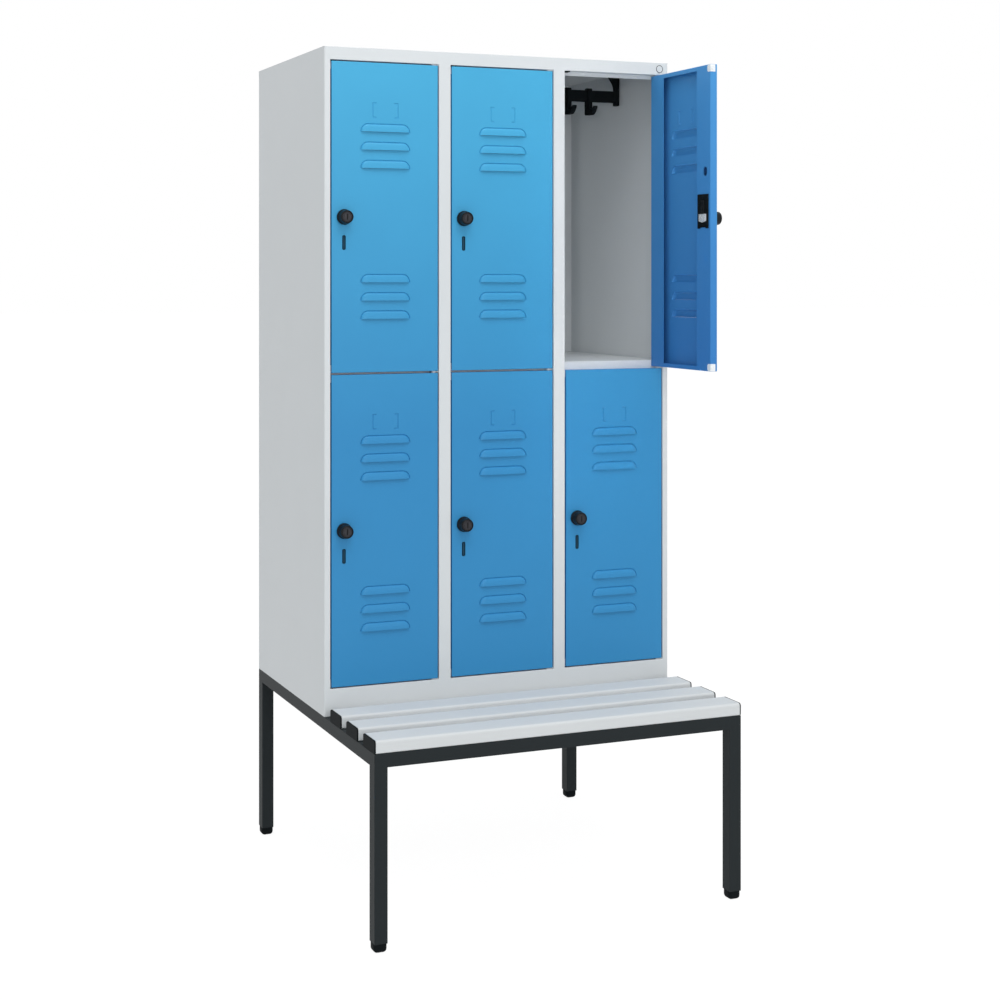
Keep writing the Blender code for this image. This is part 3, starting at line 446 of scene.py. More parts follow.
def cut_across(bm, axis, place):
    """Cut a bmesh along the plane that crosses an axis at a place, and keep both sides."""
    normal = Vector([float(name == axis) for name in "xyz"])
    bmesh.ops.bisect_plane(
        bm, geom=[*bm.verts, *bm.edges, *bm.faces], plane_co=normal * place, plane_no=normal
    )


def folded_sheet(path, radius, low, high, turn, others=None):
    """Sweep a path from low to high and round its folds.

    The folds have one radius, apart from others that go by the number of their fold. The outer
    face of the sheet is on the right of someone who walks along the path.
    """
    bm = bmesh.new()
    points = [bm.verts.new((u, v, low)) for u, v in path]
    edges = [bm.edges.new(pair) for pair in zip(points, points[1:])]
    push(bm, bmesh.ops.extrude_edge_only(bm, edges=edges), (0, 0, high - low))
    bm.normal_update()
    along = points[1].co - points[0].co
    if edges[0].link_faces[0].normal.dot(Vector((along.y, -along.x, 0))) < 0:
        bmesh.ops.reverse_faces(bm, faces=bm.faces)
    folds = [next(edge for edge in point.link_edges if not edge.is_boundary) for point in points[1:-1]]
    for number, fold in enumerate(folds):
        bevel(bm, [fold], (others or {}).get(number, radius), 4)
    return placed(bm, turn)


def cut_away(bm, cuts, drop):
    """Cut a sheet across axes at places, then drop the faces whose middle passes the test."""
    for axis, place in cuts:
        cut_across(bm, axis, place)
    dropped = [face for face in bm.faces if drop(face.calc_center_median())]
    bmesh.ops.delete(bm, geom=dropped, context="FACES")


def add_block(bm, low, high, radius=0.0, segments=3, chosen=None):
    """Add a box between two corners, with its edges, or those chosen, rounded."""
    low, high = Vector(low), Vector(high)
    made = bmesh.ops.create_cube(bm, size=1)["verts"]
    bmesh.ops.scale(bm, verts=made, vec=high - low)
    bmesh.ops.translate(bm, verts=made, vec=(low + high) / 2)
    if radius:
        edges = {edge for vertex in made for edge in vertex.link_edges}
        bevel(bm, [edge for edge in edges if chosen is None or chosen(edge)], radius, segments)


def add_mesh(bm, other):
    """Add all of another bmesh and free it."""
    mesh = bpy.data.meshes.new("joined")
    other.to_mesh(mesh)
    other.free()
    bm.from_mesh(mesh)
    bpy.data.meshes.remove(mesh)


def add_turned(bm, outline, turn, steps=32):
    """Turn an outline of radii and heights once round its axis and return its vertices."""
    before = set(bm.verts)
    points = [bm.verts.new((radius, 0, height)) for radius, height in outline]
    edges = [bm.edges.new(pair) for pair in zip(points, points[1:])]
    bmesh.ops.spin(
        bm, geom=[*points, *edges], cent=(0, 0, 0), axis=(0, 0, 1), angle=math.tau, steps=steps,
        use_merge=True,
    )
    made = [vertex for vertex in bm.verts if vertex not in before]
    bmesh.ops.remove_doubles(bm, verts=made, dist=MERGE_DISTANCE)
    made = [vertex for vertex in bm.verts if vertex not in before]
    bmesh.ops.transform(bm, matrix=turn, verts=made)
    return made


def rounded_loop(bm, width, height, radius, middle, segments=24):
    """Add a closed loop of edges in the plane of X and Z, with rounded corners."""
    made = bmesh.ops.create_circle(bm, segments=segments, radius=radius)["verts"]
    bmesh.ops.rotate(bm, verts=made, matrix=Matrix.Rotation(math.pi / segments, 3, "Z"))
    bmesh.ops.transform(bm, matrix=FACING_FRONT, verts=made)
    for vertex in made:
        vertex.co.x += math.copysign(width / 2 - radius, vertex.co.x)
        vertex.co.z += math.copysign(height / 2 - radius, vertex.co.z)
    bmesh.ops.translate(bm, verts=made, vec=middle)
    return list({edge for vertex in made for edge in vertex.link_edges})


def make_piece(bm, name, body, slot, replaced=(), material=None, wall=0.0, turned_out=True):
    """Make the finished piece of a bmesh. It rides on a body and stands for CAD nodes."""
    bmesh.ops.remove_doubles(bm, verts=bm.verts, dist=MERGE_DISTANCE)
    if turned_out:
        bmesh.ops.recalc_face_normals(bm, faces=bm.faces)
    for face in bm.faces:
        face.smooth = True
    for edge in bm.edges:
        edge.smooth = edge.is_manifold and edge.calc_face_angle() < SHARP_ANGLE
    mesh = bpy.data.meshes.new(name)
    bm.to_mesh(mesh)
    bm.free()
    mesh.materials.append(finish(material or SLOT_FINISHES[slot]))
    piece = bpy.data.objects.new(name, mesh)
    bpy.context.scene.collection.objects.link(piece)
    if wall:
        shell = piece.modifiers.new("Sheet", "SOLIDIFY")
        shell.thickness = wall
        shell.offset = -1
        shell.use_even_offset = True
    evened = piece.modifiers.new("Even shading", "WEIGHTED_NORMAL")
    evened.keep_sharp = True
    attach(piece, body)
    if replaced:
        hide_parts(*replaced)
    return piece


def round_edges(piece, width):
    """Round the sharp edges of a moulded piece."""
    rounding = piece.modifiers.new("Moulded edges", "BEVEL")
    rounding.width = width
    rounding.segments = 2
    rounding.angle_limit = SHARP_ANGLE
    piece.modifiers.move(piece.modifiers.find("Moulded edges"), 0)


def body_piece(bm, name, slot, replaced=(), wall=0.0, turned_out=True):
    """A piece fixed to the body. Its place is from the body's corner."""
    bmesh.ops.translate(bm, verts=bm.verts, vec=BODY)
    make_piece(bm, name, "cabinet", slot, replaced, wall=wall, turned_out=turned_out)


def steel_piece(bm, node):
    """A folded sheet of the body, in the body's paint."""
    body_piece(bm, f"sheet_{node}", "cabinet_paint", [node], SHEET, False)


def side_wall(name, right_hand, sizes):
    """Outer wall with its front stile and rear flange."""
    path = [
        (STILE_GAP, STILE_DEPTH), (STILE / 2, STILE_DEPTH), (STILE / 2, 0), (0, 0), (0, DEPTH),
        (REAR_FLANGE, DEPTH),
    ]
    if right_hand:
        path = [(WIDTH - x, y) for x, y in path]
    else:
        path.reverse()
    corner = 2 if right_hand else 1
    bm = folded_sheet(path, sizes.fold_radius, 0, PANEL_TOP, PLAN, {corner: sizes.corner_radius})
    steel_piece(bm, name)


def partition_wall(name, middle, sizes):
    """Wall between two columns with its box-shaped stile."""
    left, right = middle - STILE / 2, middle + STILE / 2
    wall, end = middle + SHEET / 2, BOTTOM_REAR - SHEET
    path = [
        (middle - STILE_GAP / 2, STILE_DEPTH), (left, STILE_DEPTH), (left, 0), (right, 0),
        (right, STILE_DEPTH), (wall, STILE_DEPTH), (wall, end), (middle + PARTITION_FLANGE, end),
    ]
    # The stile runs on behind the rounded edges of the fascias, so that its front meets them flush
    low, high = OPENING_BOTTOM - sizes.fold_radius, OPENING_TOP + sizes.fold_radius
    bm = folded_sheet(path, sizes.fold_radius, low, PANEL_TOP, PLAN)
    rear = STOP_FACE + HEM
    cut_away(bm, [("z", high), ("y", rear)], lambda place: place.z > high and place.y < rear)
    steel_piece(bm, name)


def hinge_lugs(column):
    """The hinge lugs of a column, welded to the stile at its right, with their pins."""
    stile = PITCH * (column + 1) - STILE / 2
    axis = stile - HINGE_INSET
    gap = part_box("door_left_upper")[0].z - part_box("door_left_lower")[1].z
    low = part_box("door_left_lower")[0].z - BODY.z - DOOR_GAP / 2
    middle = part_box("door_left_lower")[1].z - BODY.z + gap / 2
    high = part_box("door_left_upper")[1].z - BODY.z + DOOR_GAP / 2
    bm = bmesh.new()
    for height, space in ((low, DOOR_GAP), (middle, gap), (high, DOOR_GAP)):
        add_block(
            bm, (axis - 0.006, 0.002, height - 0.0008), (stile + 0.0005, 0.012, height + 0.0008),
            0.0004, 2,
        )
        reach = space / 2 - 0.0002
        outline = [(0, -reach), (0.0040, -reach), (0.0042, 0.0002 - reach)]
        outline += [(radius, -side) for radius, side in reversed(outline)]
        add_turned(bm, outline, Matrix.Translation((axis, HINGE_DEPTH, height)), 20)
    body_piece(bm, f"hinge_lugs_{COLUMNS[column]}", "cabinet_paint")


def top_sheet(sizes):
    """Top with its fascia, the return over the doors and the stop lip."""
    path = [
        (DEPTH, HEIGHT - REAR_FLANGE), (DEPTH, HEIGHT), (0, HEIGHT), (0, OPENING_TOP),
        (STOP_FACE, OPENING_TOP), (STOP_FACE, OPENING_TOP - TOP_LIP),
    ]
    bm = folded_sheet(path, sizes.fold_radius, 0, WIDTH, SECTION)
    # The fascia covers the folds of the side stiles, so that the corners are smooth
    left = STILE / 2 - sizes.fold_radius
    right, low, lip = WIDTH - left, PANEL_TOP, OPENING_TOP - 0.0035
    cut_away(
        bm, [("x", left), ("x", right), ("z", low)],
        lambda place: not left < place.x < right and place.z < low and place.y < STOP_FACE + HEM,
    )
    near, far, half_way = FOLD_MARGIN, STOP_FACE - FOLD_MARGIN, DEPTH / 2
    fold = OPENING_TOP - FOLD_MARGIN
    for column in range(len(COLUMNS)):
        start, end = PITCH * column + STILE / 2, PITCH * (column + 1) - STILE / 2
        notch, lug = start + RETURN_NOTCH, end - LIP_NOTCH
        cuts = [("x", x) for x in (start, notch, lug, end)]
        cut_away(
            bm, [*cuts, ("y", near), ("y", far), ("z", lip)],
            lambda place: (start < place.x < notch and near < place.y < half_way and lip < place.z < low)
            or (lug < place.x < end and far < place.y < half_way and place.z < fold),
        )
    steel_piece(bm, "top_panel")


def bottom_sheet(sizes):
    """Bottom with its fascia, hemmed stop lip, floor and base flanges."""
    lip_top = OPENING_BOTTOM + STOP_LIP
    path = [
        (BOTTOM_REAR - BASE_FLANGE, 0), (BOTTOM_REAR, 0), (BOTTOM_REAR, OPENING_BOTTOM),
        (STOP_FACE + HEM, OPENING_BOTTOM), (STOP_FACE + HEM, lip_top), (STOP_FACE, lip_top),
        (STOP_FACE, OPENING_BOTTOM), (0, OPENING_BOTTOM), (0, 0), (BASE_FLANGE, 0),
    ]
    hem = {3: HEM_RADIUS, 4: HEM_RADIUS}
    bm = folded_sheet(path, sizes.fold_radius, BOTTOM_INSET, WIDTH - BOTTOM_INSET, SECTION, hem)
    left, rear = STILE / 2 - sizes.fold_radius, STOP_FACE - 0.0002
    right = WIDTH - left
    cut_away(
        bm, [("x", left), ("x", right), ("y", rear)],
        lambda place: not left < place.x < right and place.y < rear,
    )
    steel_piece(bm, "bottom_panel")


def shelf_sheet(column, sizes):
    """Shelf between the two tiers of a column, with its front lip and rear flange."""
    path = [
        (SHELF_REAR, SHELF_TOP - 0.020), (SHELF_REAR, SHELF_TOP), (STOP_FACE, SHELF_TOP),
        (STOP_FACE, SHELF_BOTTOM), (STOP_FACE + 0.010, SHELF_BOTTOM),
    ]
    bm = folded_sheet(path, sizes.fold_radius, 0, PITCH - SHELF_INSET * 2, SECTION)
    bmesh.ops.translate(bm, verts=bm.verts, vec=(PITCH * column + SHELF_INSET, 0, 0))
    steel_piece(bm, f"shelf_{COLUMNS[column]}")


def door_stops_and_notch_shade():
    """Black stops in the notches over the latch side of the upper doors; their black also paints the
    shade that falls in the notches.
    """
    bm = bmesh.new()
    for column in range(len(COLUMNS)):
        start = PITCH * column + STILE / 2
        add_block(
            bm, (start + 0.0004, 0.0035, OPENING_TOP - 0.0022),
            (start + RETURN_NOTCH - 0.0006, STOP_FACE - 0.0010, OPENING_TOP + 0.0040), 0.0006, 2,
        )
    body_piece(bm, "door_stops_and_notch_shade", "black_plastic")


class LOCKER_OT_build_body(Operator):
    """Build the walls, partitions, top, bottom and shelves of the steel body"""

    bl_idname = "locker.build_body"
    bl_label = "Body"

    def execute(self, context):
        sizes = context.scene.locker_sizes
        side_wall("side_left", False, sizes)
        side_wall("side_right", True, sizes)
        partition_wall("partition_left", PITCH, sizes)
        partition_wall("partition_right", PITCH * 2, sizes)
        top_sheet(sizes)
        bottom_sheet(sizes)
        for column in range(len(COLUMNS)):
            hinge_lugs(column)
            shelf_sheet(column, sizes)
        door_stops_and_notch_shade()
        back = frame["nodes"]["back_panel"]
        back.data.materials.clear()
        back.data.materials.append(finish("light_grey_powder_coat"))
        return {"FINISHED"}


def louvre_rise(share):
    """How far a louvre stands out, as a share of its bulge, at a share of its height.

    Above a share of 1 runs the shallow draw line that the press leaves round the louvre.
    """
    if share <= 1:
        return (1 - share ** 2.6) ** 0.5
    return -0.34 * math.sin((share - 1) / 0.12 * math.pi)


def add_louvre(bm, base, sizes):
    """Raise one louvre with its mouth at the bottom; return the loop round its hole."""
    before = set(bm.edges)
    height, half = sizes.louvre_height, sizes.louvre_length / 2 - sizes.louvre_height
    shares = (0, 0.25, 0.45, 0.62, 0.76, 0.87, 0.94, 0.98, 1.0, 1.03, 1.06, 1.09, 1.12)
    left = DOOR_MIDDLE - half
    points = [
        bm.verts.new((left, DOOR_FRONT - sizes.louvre_bulge * louvre_rise(share), base + height * share))
        for share in shares
    ]
    start = [bm.edges.new(pair) for pair in zip(points, points[1:])]
    swept = bmesh.ops.extrude_edge_only(bm, edges=start)
    far = set(push(bm, swept, (half * 2, 0, 0)))
    end = [
        item for item in swept["geom"]
        if isinstance(item, bmesh.types.BMEdge) and set(item.verts) <= far
    ]
    for chain, side in ((start, -1), (end, 1)):
        verts = list({vertex for edge in chain for vertex in edge.verts})
        bmesh.ops.spin(
            bm, geom=[*verts, *chain], cent=(DOOR_MIDDLE + side * half, DOOR_FRONT, base),
            axis=(0, 1, 0), angle=side * math.radians(90), steps=8,
        )
    made = {vertex for edge in bm.edges if edge not in before for vertex in edge.verts}
    bmesh.ops.remove_doubles(bm, verts=list(made), dist=MERGE_DISTANCE)
    rim = [
        edge for edge in bm.edges
        if edge not in before and edge.is_boundary
        and all(abs(vertex.co.y - DOOR_FRONT) < MERGE_DISTANCE for vertex in edge.verts)
    ]
    ends = [
        vertex for edge in rim for vertex in edge.verts if abs(vertex.co.z - base) < MERGE_DISTANCE
    ]
    return [*rim, bm.edges.new(ends)]


def add_label_bracket(bm, side, sizes):
    """Emboss one bracket of the label frame; return the loop round it."""
    before = set(bm.edges)
    line, outer = sizes.label_line, sizes.label_width / 2
    arm = LABEL_ARM
    low = LABEL_Z - sizes.label_height / 2
    high = low + sizes.label_height
    corners = [
        (outer, low), (outer, high), (outer - arm, high), (outer - arm, high - line),
        (outer - line, high - line), (outer - line, low + line), (outer - arm, low + line),
        (outer - arm, low),
    ]
    face = bm.faces.new([bm.verts.new((DOOR_MIDDLE + side * x, DOOR_FRONT, z)) for x, z in corners])
    face.normal_update()
    if face.normal.y > 0:
        face.normal_flip()
    bmesh.ops.inset_region(
        bm, faces=[face], thickness=line * 0.25, depth=-sizes.label_depth, use_boundary=True,
        use_even_offset=True,
    )
    return [edge for edge in bm.edges if edge not in before and edge.is_boundary]


def door_leaf(sizes):
    """Folded door pan with louvres, label frame, lock cut-outs and rear flanges."""
    bm = bmesh.new()
    add_block(
        bm, (DOOR_LEFT, DOOR_FRONT, 0), (DOOR_RIGHT, DOOR_REAR, DOOR_HEIGHT), sizes.door_radius, 4
    )
    bm.normal_update()
    loops = []
    for direction in (-1, 1):
        sheet = max(bm.faces, key=lambda face: face.normal.y * direction * face.calc_area())
        loops.append(list(sheet.edges))
        bmesh.ops.delete(bm, geom=[sheet], context="FACES_ONLY")
    front, rear = loops
    for base in LOUVRE_BASES:
        front += add_louvre(bm, base, sizes)
    for side in (-1, 1):
        front += add_label_bracket(bm, side, sizes)
    front += rounded_loop(bm, *SLOT, (LOCK_X, DOOR_FRONT, SLOT_Z))
    front += rounded_loop(bm, *KNOB_HOLE, (LOCK_X, DOOR_FRONT, LOCK_Z))
    rear += rounded_loop(bm, *REAR_OPENING, (DOOR_MIDDLE, DOOR_REAR, DOOR_HEIGHT / 2))
    rear += rounded_loop(bm, *CASE_OPENING, (LOCK_X, DOOR_REAR, LOCK_Z + 0.016))
    rear += rounded_loop(bm, *FLANGE_HOLE, (DOOR_LEFT + 0.022, DOOR_REAR, LOCK_Z + 0.109))
    fill(bm, front, (0, -1, 0))
    fill(bm, rear, (0, 1, 0))
    # The faces behind the front carry the rear's deeper blue, which is painted shade
    for face in bm.faces:
        face.material_index = int(face.calc_center_median().y > DOOR_FRONT + 0.003)
    return bm


def add_buffer(bm, top):
    """Plastic cap round the free corner of a door, with a round boss on its latch side."""
    middle = DOOR_HEIGHT - BUFFER_MIDDLE if top else BUFFER_MIDDLE
    left = DOOR_LEFT - 0.0005
    add_block(
        bm, (left, -0.0022, middle - BUFFER_HALF),
        (left + 0.0135, DOOR_REAR + 0.0002, middle + BUFFER_HALF), 0.0052, 6,
        chosen=lambda edge: min(vertex.co.x for vertex in edge.verts) > left + NEAR
        and abs(run(edge).y) > NEAR,
    )
    outline = [
        (0, 0.0008), (0.0016, 0.0008), (0.0020, 0.0003), (0.0029, 0.0003), (0.0033, 0.0008),
        (0.0039, 0.0008), (0.0044, 0.0003), (0.0044, -0.0010), (0, -0.0010),
    ]
    place = Matrix.Translation((left, DOOR_REAR - 0.0050, middle))
    add_turned(bm, outline, place @ Matrix.Rotation(math.radians(-90), 4, "Y"), 24)


def slot_blank():
    """Moulded blank behind the slot of a door, with a rib along its middle; its dark plastic paints the
    shade inside the slot.
    """
    bm = bmesh.new()
    back = DOOR_FRONT + SHEET + 0.0002
    for half_width, half_height, front, rear in (
        (0.0075, 0.0200, back + 0.0030, back + 0.0040), (0.0013, 0.0140, back - 0.0006, back + 0.0035),
    ):
        add_block(
            bm, (LOCK_X - half_width, front, SLOT_Z - half_height),
            (LOCK_X + half_width, rear, SLOT_Z + half_height), 0.0003, 2,
        )
    return bm


def at_rest(place, origin):
    """Matrix that moves a door's piece from its origin to its place at rest."""
    angle = math.radians(90) if place == OPEN_PLACE else 0
    return Matrix.Translation(origin) @ Matrix.Rotation(angle, 4, "Z")


class LOCKER_OT_build_doors(Operator):
    """Build the six door leaves with their corner buffers, and the slot blanks that paint the shade
    inside their slots
    """

    bl_idname = "locker.build_doors"
    bl_label = "Doors"

    def execute(self, context):
        sizes = context.scene.locker_sizes
        for place in PLACES:
            door = f"door_{place}"
            hinge = Vector(JOINTS[f"{door}_hinge"]["pos_m"])
            hinge.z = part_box(door)[0].z
            rest = at_rest(place, hinge)
            leaf = placed(door_leaf(sizes), rest)
            piece = make_piece(leaf, f"leaf_{place}", door, "door_paint", [door], wall=SHEET)
            # The rear faces get the second material, the painted shade of the deeper blue
            piece.data.materials.append(finish("blue_powder_coat_rear"))
            piece.modifiers["Sheet"].material_offset = 1
            buffers = bmesh.new()
            for top in (False, True):
                add_buffer(buffers, top)
            piece = make_piece(
                placed(buffers, rest), f"buffers_{place}", door, "slat_plastic",
                material="white_buffer_plastic",
            )
            round_edges(piece, 0.0004)
            # A dark blank behind the slot paints the shade inside it
            blank = placed(slot_blank(), rest)
            make_piece(blank, f"blank_{place}", door, "black_plastic", material="grey_blank_plastic")
        return {"FINISHED"}


def lock_case():
    """Moulded case behind the knob, whose plate lies on the door's rear flange."""
    bm = bmesh.new()
    add_block(bm, (-0.0205, 0.0013, -0.0215), (0.0205, 0.0190, 0.0535), 0.0006)
    add_block(bm, (-0.023, 0.0183, -0.019), (0.023, 0.0198, 0.056), 0.0008)
    for side in (-1, 1):
        inner, outer = sorted((side * 0.011, side * 0.023))
        add_block(bm, (inner, 0.0183, -0.024), (outer, 0.0198, -0.017), 0.0007)
    return bm


def knob(sizes):
    """Turning knob with a grooved grip, a collar, its stem and cam, and the keyway's shutter."""
    bm = bmesh.new()
    radius, reach = sizes.knob_radius, sizes.knob_reach
    # Radii and heights, as shares of the knob's radius and reach
    shares = (
        (1, 0.22), (0.97, 0.27), (0.92, 0.30), (0.90, 0.36), (0.86, 0.86), (0.84, 0.93),
        (0.80, 0.98), (0.77, 1), (0.71, 1), (0.69, 0.98), (0.69, 0.90), (0, 0.90),
    )
    outline = [(0.0068, 0.0003), (radius * 0.97, 0.0003), (radius, 0.0009)]
    outline += [(radius * across, reach * along) for across, along in shares]
    made = add_turned(bm, outline, Matrix.Identity(4), KNOB_STEPS)
    # Every third column of points on the grip is drawn in
    for vertex in made:
        around = round(math.atan2(vertex.co.y, vertex.co.x) / math.tau * KNOB_STEPS)
        if reach * 0.32 < vertex.co.z < reach * 0.90 and around % 3 == 0:
            vertex.co.xy *= 0.965
    bmesh.ops.transform(bm, matrix=FACING_FRONT, verts=made)
    stem = [(0, -0.0195), (0.0068, -0.0195), (0.0072, -0.0190), (0.0072, 0.0006), (0, 0.0006)]
    add_turned(bm, stem, FACING_FRONT)
    add_block(bm, (-0.007, 0.0199, 0.004), (0.007, 0.0209, 0.042), 0.0004)
    # Shutter in the keyway
    add_block(bm, (-0.0018, -reach * 0.91, -0.0075), (0.0018, -reach * 0.88, 0.0075))
    return bm


def key_barrel(sizes):
    """Face of the key barrel in the middle of the knob, with its keyway."""
    bm = bmesh.new()
    front, radius = sizes.knob_reach * 0.97, sizes.knob_radius * 0.68
    rear, step, groove = front - 0.0040, radius - 0.0024, front - 0.0006
    outline = [
        (0, rear), (radius, rear), (radius, front - 0.0008), (radius - 0.0010, front),
        (step, front), (step - 0.0004, groove), (step - 0.0010, groove), (step - 0.0014, front),
    ]
    add_turned(bm, outline, FACING_FRONT, 48)
    rim = [edge for edge in bm.edges if edge.is_boundary]
    keyway = rounded_loop(bm, 0.0034, 0.0140, 0.0010, (0, -front, 0))
    fill(bm, [*rim, *keyway], (0, -1, 0))
    push(bm, bmesh.ops.extrude_edge_only(bm, edges=keyway), (0, 0.0035, 0))
    bmesh.ops.edgeloop_fill(bm, edges=[edge for edge in bm.edges if edge.is_boundary])
    return bm


def lock_follower():
    """Plated follower behind the case, with a shallow ridge and a pointed lower edge."""
    bm = bmesh.new()
    add_block(bm, (-0.0155, 0.0200, -0.0108), (0.0155, 0.0230, 0.0095))
    cut_across(bm, "x", 0)
    for vertex in bm.verts:
        side = abs(vertex.co.x) > MERGE_DISTANCE
        if side and vertex.co.z < 0:
            vertex.co.z += 0.0040
        if side and vertex.co.y > 0.022:
            vertex.co.y -= 0.0018
    bevel(bm, sharp_edges(bm), 0.0008, 3)
    return bm


class LOCKER_OT_build_locks(Operator):
    """Build the knobs, key barrels, followers and cases of the rotary locks"""

    bl_idname = "locker.build_locks"
    bl_label = "Locks"

    def execute(self, context):
        sizes = context.scene.locker_sizes
        for place in PLACES:
            door, lock = f"door_{place}", f"lock_{place}"
            rest = at_rest(place, JOINTS[f"{lock}_turn"]["pos_m"])
            case = placed(lock_case(), rest)
            make_piece(case, f"case_{place}", door, "black_plastic", [f"lock_case_{place}"])
            for name, bm, replaced, material in (
                ("knob", knob(sizes), [f"lock_rotor_{place}"], "black_knob_plastic"),
                ("barrel", key_barrel(sizes), [], "dark_barrel_metal"),
                ("follower", lock_follower(), [], "zinc_plated_steel"),
            ):
                bm = placed(bm, rest)
                make_piece(bm, f"{name}_{place}", lock, "lock_plastic", replaced, material)
        return {"FINISHED"}


def rounded_outline(bm, corners):
    """Add a flat face from corners, each a place with the length that its rounding takes up."""
    points = [bm.verts.new(place) for place, rounding in corners]
    bm.faces.new(points)
    for point, (place, rounding) in zip(points, corners):
        if rounding:
            bevel(bm, [point], rounding, 5, "VERTICES")


def thicken(bm, way):
    """Give the flat faces of a bmesh a thickness along a vector."""
    push(bm, bmesh.ops.extrude_face_region(bm, geom=list(bm.faces)), way)


def coat_rail(low, high):
    """Moulded rail with a flared bracket at each end, between the corners of its CAD box."""
    bm = bmesh.new()
    middle, ceiling = (low.y + high.y) / 2, high.z
    add_block(
        bm, (low.x + BAR_END_GAP, middle - BAR_DEPTH / 2, ceiling - BAR_TOP - BAR_HEIGHT),
        (high.x - BAR_END_GAP, middle + BAR_DEPTH / 2, ceiling - BAR_TOP), 0.003, 4,
        chosen=lambda edge: abs(run(edge).x) > BAR_HEIGHT,
    )
    for end, inward in ((low.x, 1), (high.x, -1)):
        bracket = bmesh.new()
        inner = end + inward * BRACKET
        corners = (
            (end, ceiling, 0), (inner + inward * 0.020, ceiling, 0.001),
            (inner, ceiling - 0.030, 0.0075), (inner, low.z, 0.003), (end, low.z, 0.003),
        )
        front = middle - BRACKET / 2
        rounded_outline(bracket, [((x, front, z), rounding) for x, z, rounding in corners])
        thicken(bracket, (0, BRACKET, 0))
        add_mesh(bm, bracket)
    return bm


def coat_hook(middle, rail_low, rail_high):
    """Moulded hook with a ring round the bar, placed from the box of its rail."""
    bar = (rail_low.y + rail_high.y) / 2
    under = rail_high.z - BAR_TOP - BAR_HEIGHT
    left = middle - HOOK_WIDTH / 2
    # Forward of the bar's middle and up from its lower edge: tip, lower front, back, ring, crook
    corners = (
        (-0.0365, -0.0125, 0.0008), (-0.0380, -0.0165, 0.0018), (-0.0250, -0.0345, 0.0100),
        (0.0100, -0.0345, 0.0050), (0.0100, 0.0350, 0.0065), (-0.0100, 0.0350, 0.0065),
        (-0.0100, -0.0235, 0.0060), (-0.0270, -0.0235, 0.0070),
    )
    bm = bmesh.new()
    rounded_outline(bm, [((left, bar + y, under + z), rounding) for y, z, rounding in corners])
    bmesh.ops.delete(bm, geom=list(bm.faces), context="FACES_ONLY")
    outside = list(bm.edges)
    bar_hole = rounded_loop(bm, 0.0112, 0.0312, 0.0032, (0, 0, 0))
    verts = list({vertex for edge in bar_hole for vertex in edge.verts})
    turn = Matrix.Rotation(math.radians(90), 4, "Z")
    turn = Matrix.Translation((left, bar, under + BAR_HEIGHT / 2)) @ turn
    bmesh.ops.transform(bm, matrix=turn, verts=verts)
    fill(bm, [*outside, *bar_hole], (-1, 0, 0))
    thicken(bm, (HOOK_WIDTH, 0, 0))
    return bm


class LOCKER_OT_build_rails(Operator):
    """Build the coat rails and the hooks that slide along them"""

    bl_idname = "locker.build_rails"
    bl_label = "Coat rails and hooks"

    def execute(self, context):
        for place in PLACES:
            rail = f"coat_rail_{place}"
            bm = coat_rail(*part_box(rail))
            make_piece(bm, f"rail_{place}", "cabinet", "black_plastic", [rail])
            for number in (1, 2):
                hook = f"coat_hook_{place}_{number}"
                low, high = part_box(hook)
                bm = coat_hook((low.x + high.x) / 2, *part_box(rail))
                piece = make_piece(bm, f"hook_{place}_{number}", hook, "black_plastic", [hook])
                round_edges(piece, 0.0012)
        return {"FINISHED"}


class LOCKER_OT_build_frame(Operator):
    """Build the welded base frame with its glides"""

    bl_idname = "locker.build_frame"
    bl_label = "Base frame"

    def execute(self, context):
        bm = bmesh.new()
        bm.from_mesh(frame["nodes"]["base_frame"].data)
        bmesh.ops.remove_doubles(bm, verts=bm.verts, dist=MERGE_DISTANCE)
        bmesh.ops.dissolve_limit(bm, angle_limit=math.radians(1), verts=bm.verts, edges=bm.edges)
        bm.normal_update()
        edges = [edge for edge in bm.edges if edge.is_manifold and edge.is_convex]
        edges = [edge for edge in edges if edge.calc_face_angle() > SHARP_ANGLE]
        bevel(bm, edges, context.scene.locker_sizes.tube_radius * 0.9, 3, clamped=True)
        make_piece(bm, "welded_frame", "cabinet", "frame_paint", ["base_frame"])
        for node in sorted(name for name in frame["nodes"] if name.startswith("foot_")):
            low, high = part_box(node)
            bm = bmesh.new()
            add_block(
                bm, low, (high.x, high.y, low.z + GLIDE_HEIGHT), GLIDE_RADIUS, 6,
                chosen=lambda edge: min(vertex.co.z for vertex in edge.verts) < low.z + NEAR,
            )
            make_piece(bm, f"glide_{node[5:]}", "cabinet", "black_plastic", [node])
        return {"FINISHED"}


def slat_length(low, high):
    """A length of the slat's section, rounded more along its upper edges."""
    bm = bmesh.new()
    add_block(bm, low, high)
    middle = (low.z + high.z) / 2
    for radius, above in ((0.006, True), (0.003, False)):
        chosen = [
            edge for edge in bm.edges
            if abs(run(edge).x) > (high.x - low.x) / 2 and (edge.verts[0].co.z > middle) == above
            and all(
                min(vertex.co.y - low.y, high.y - vertex.co.y) < MERGE_DISTANCE
                for vertex in edge.verts
            )
        ]
        bevel(bm, chosen, radius, 6)
    return bm


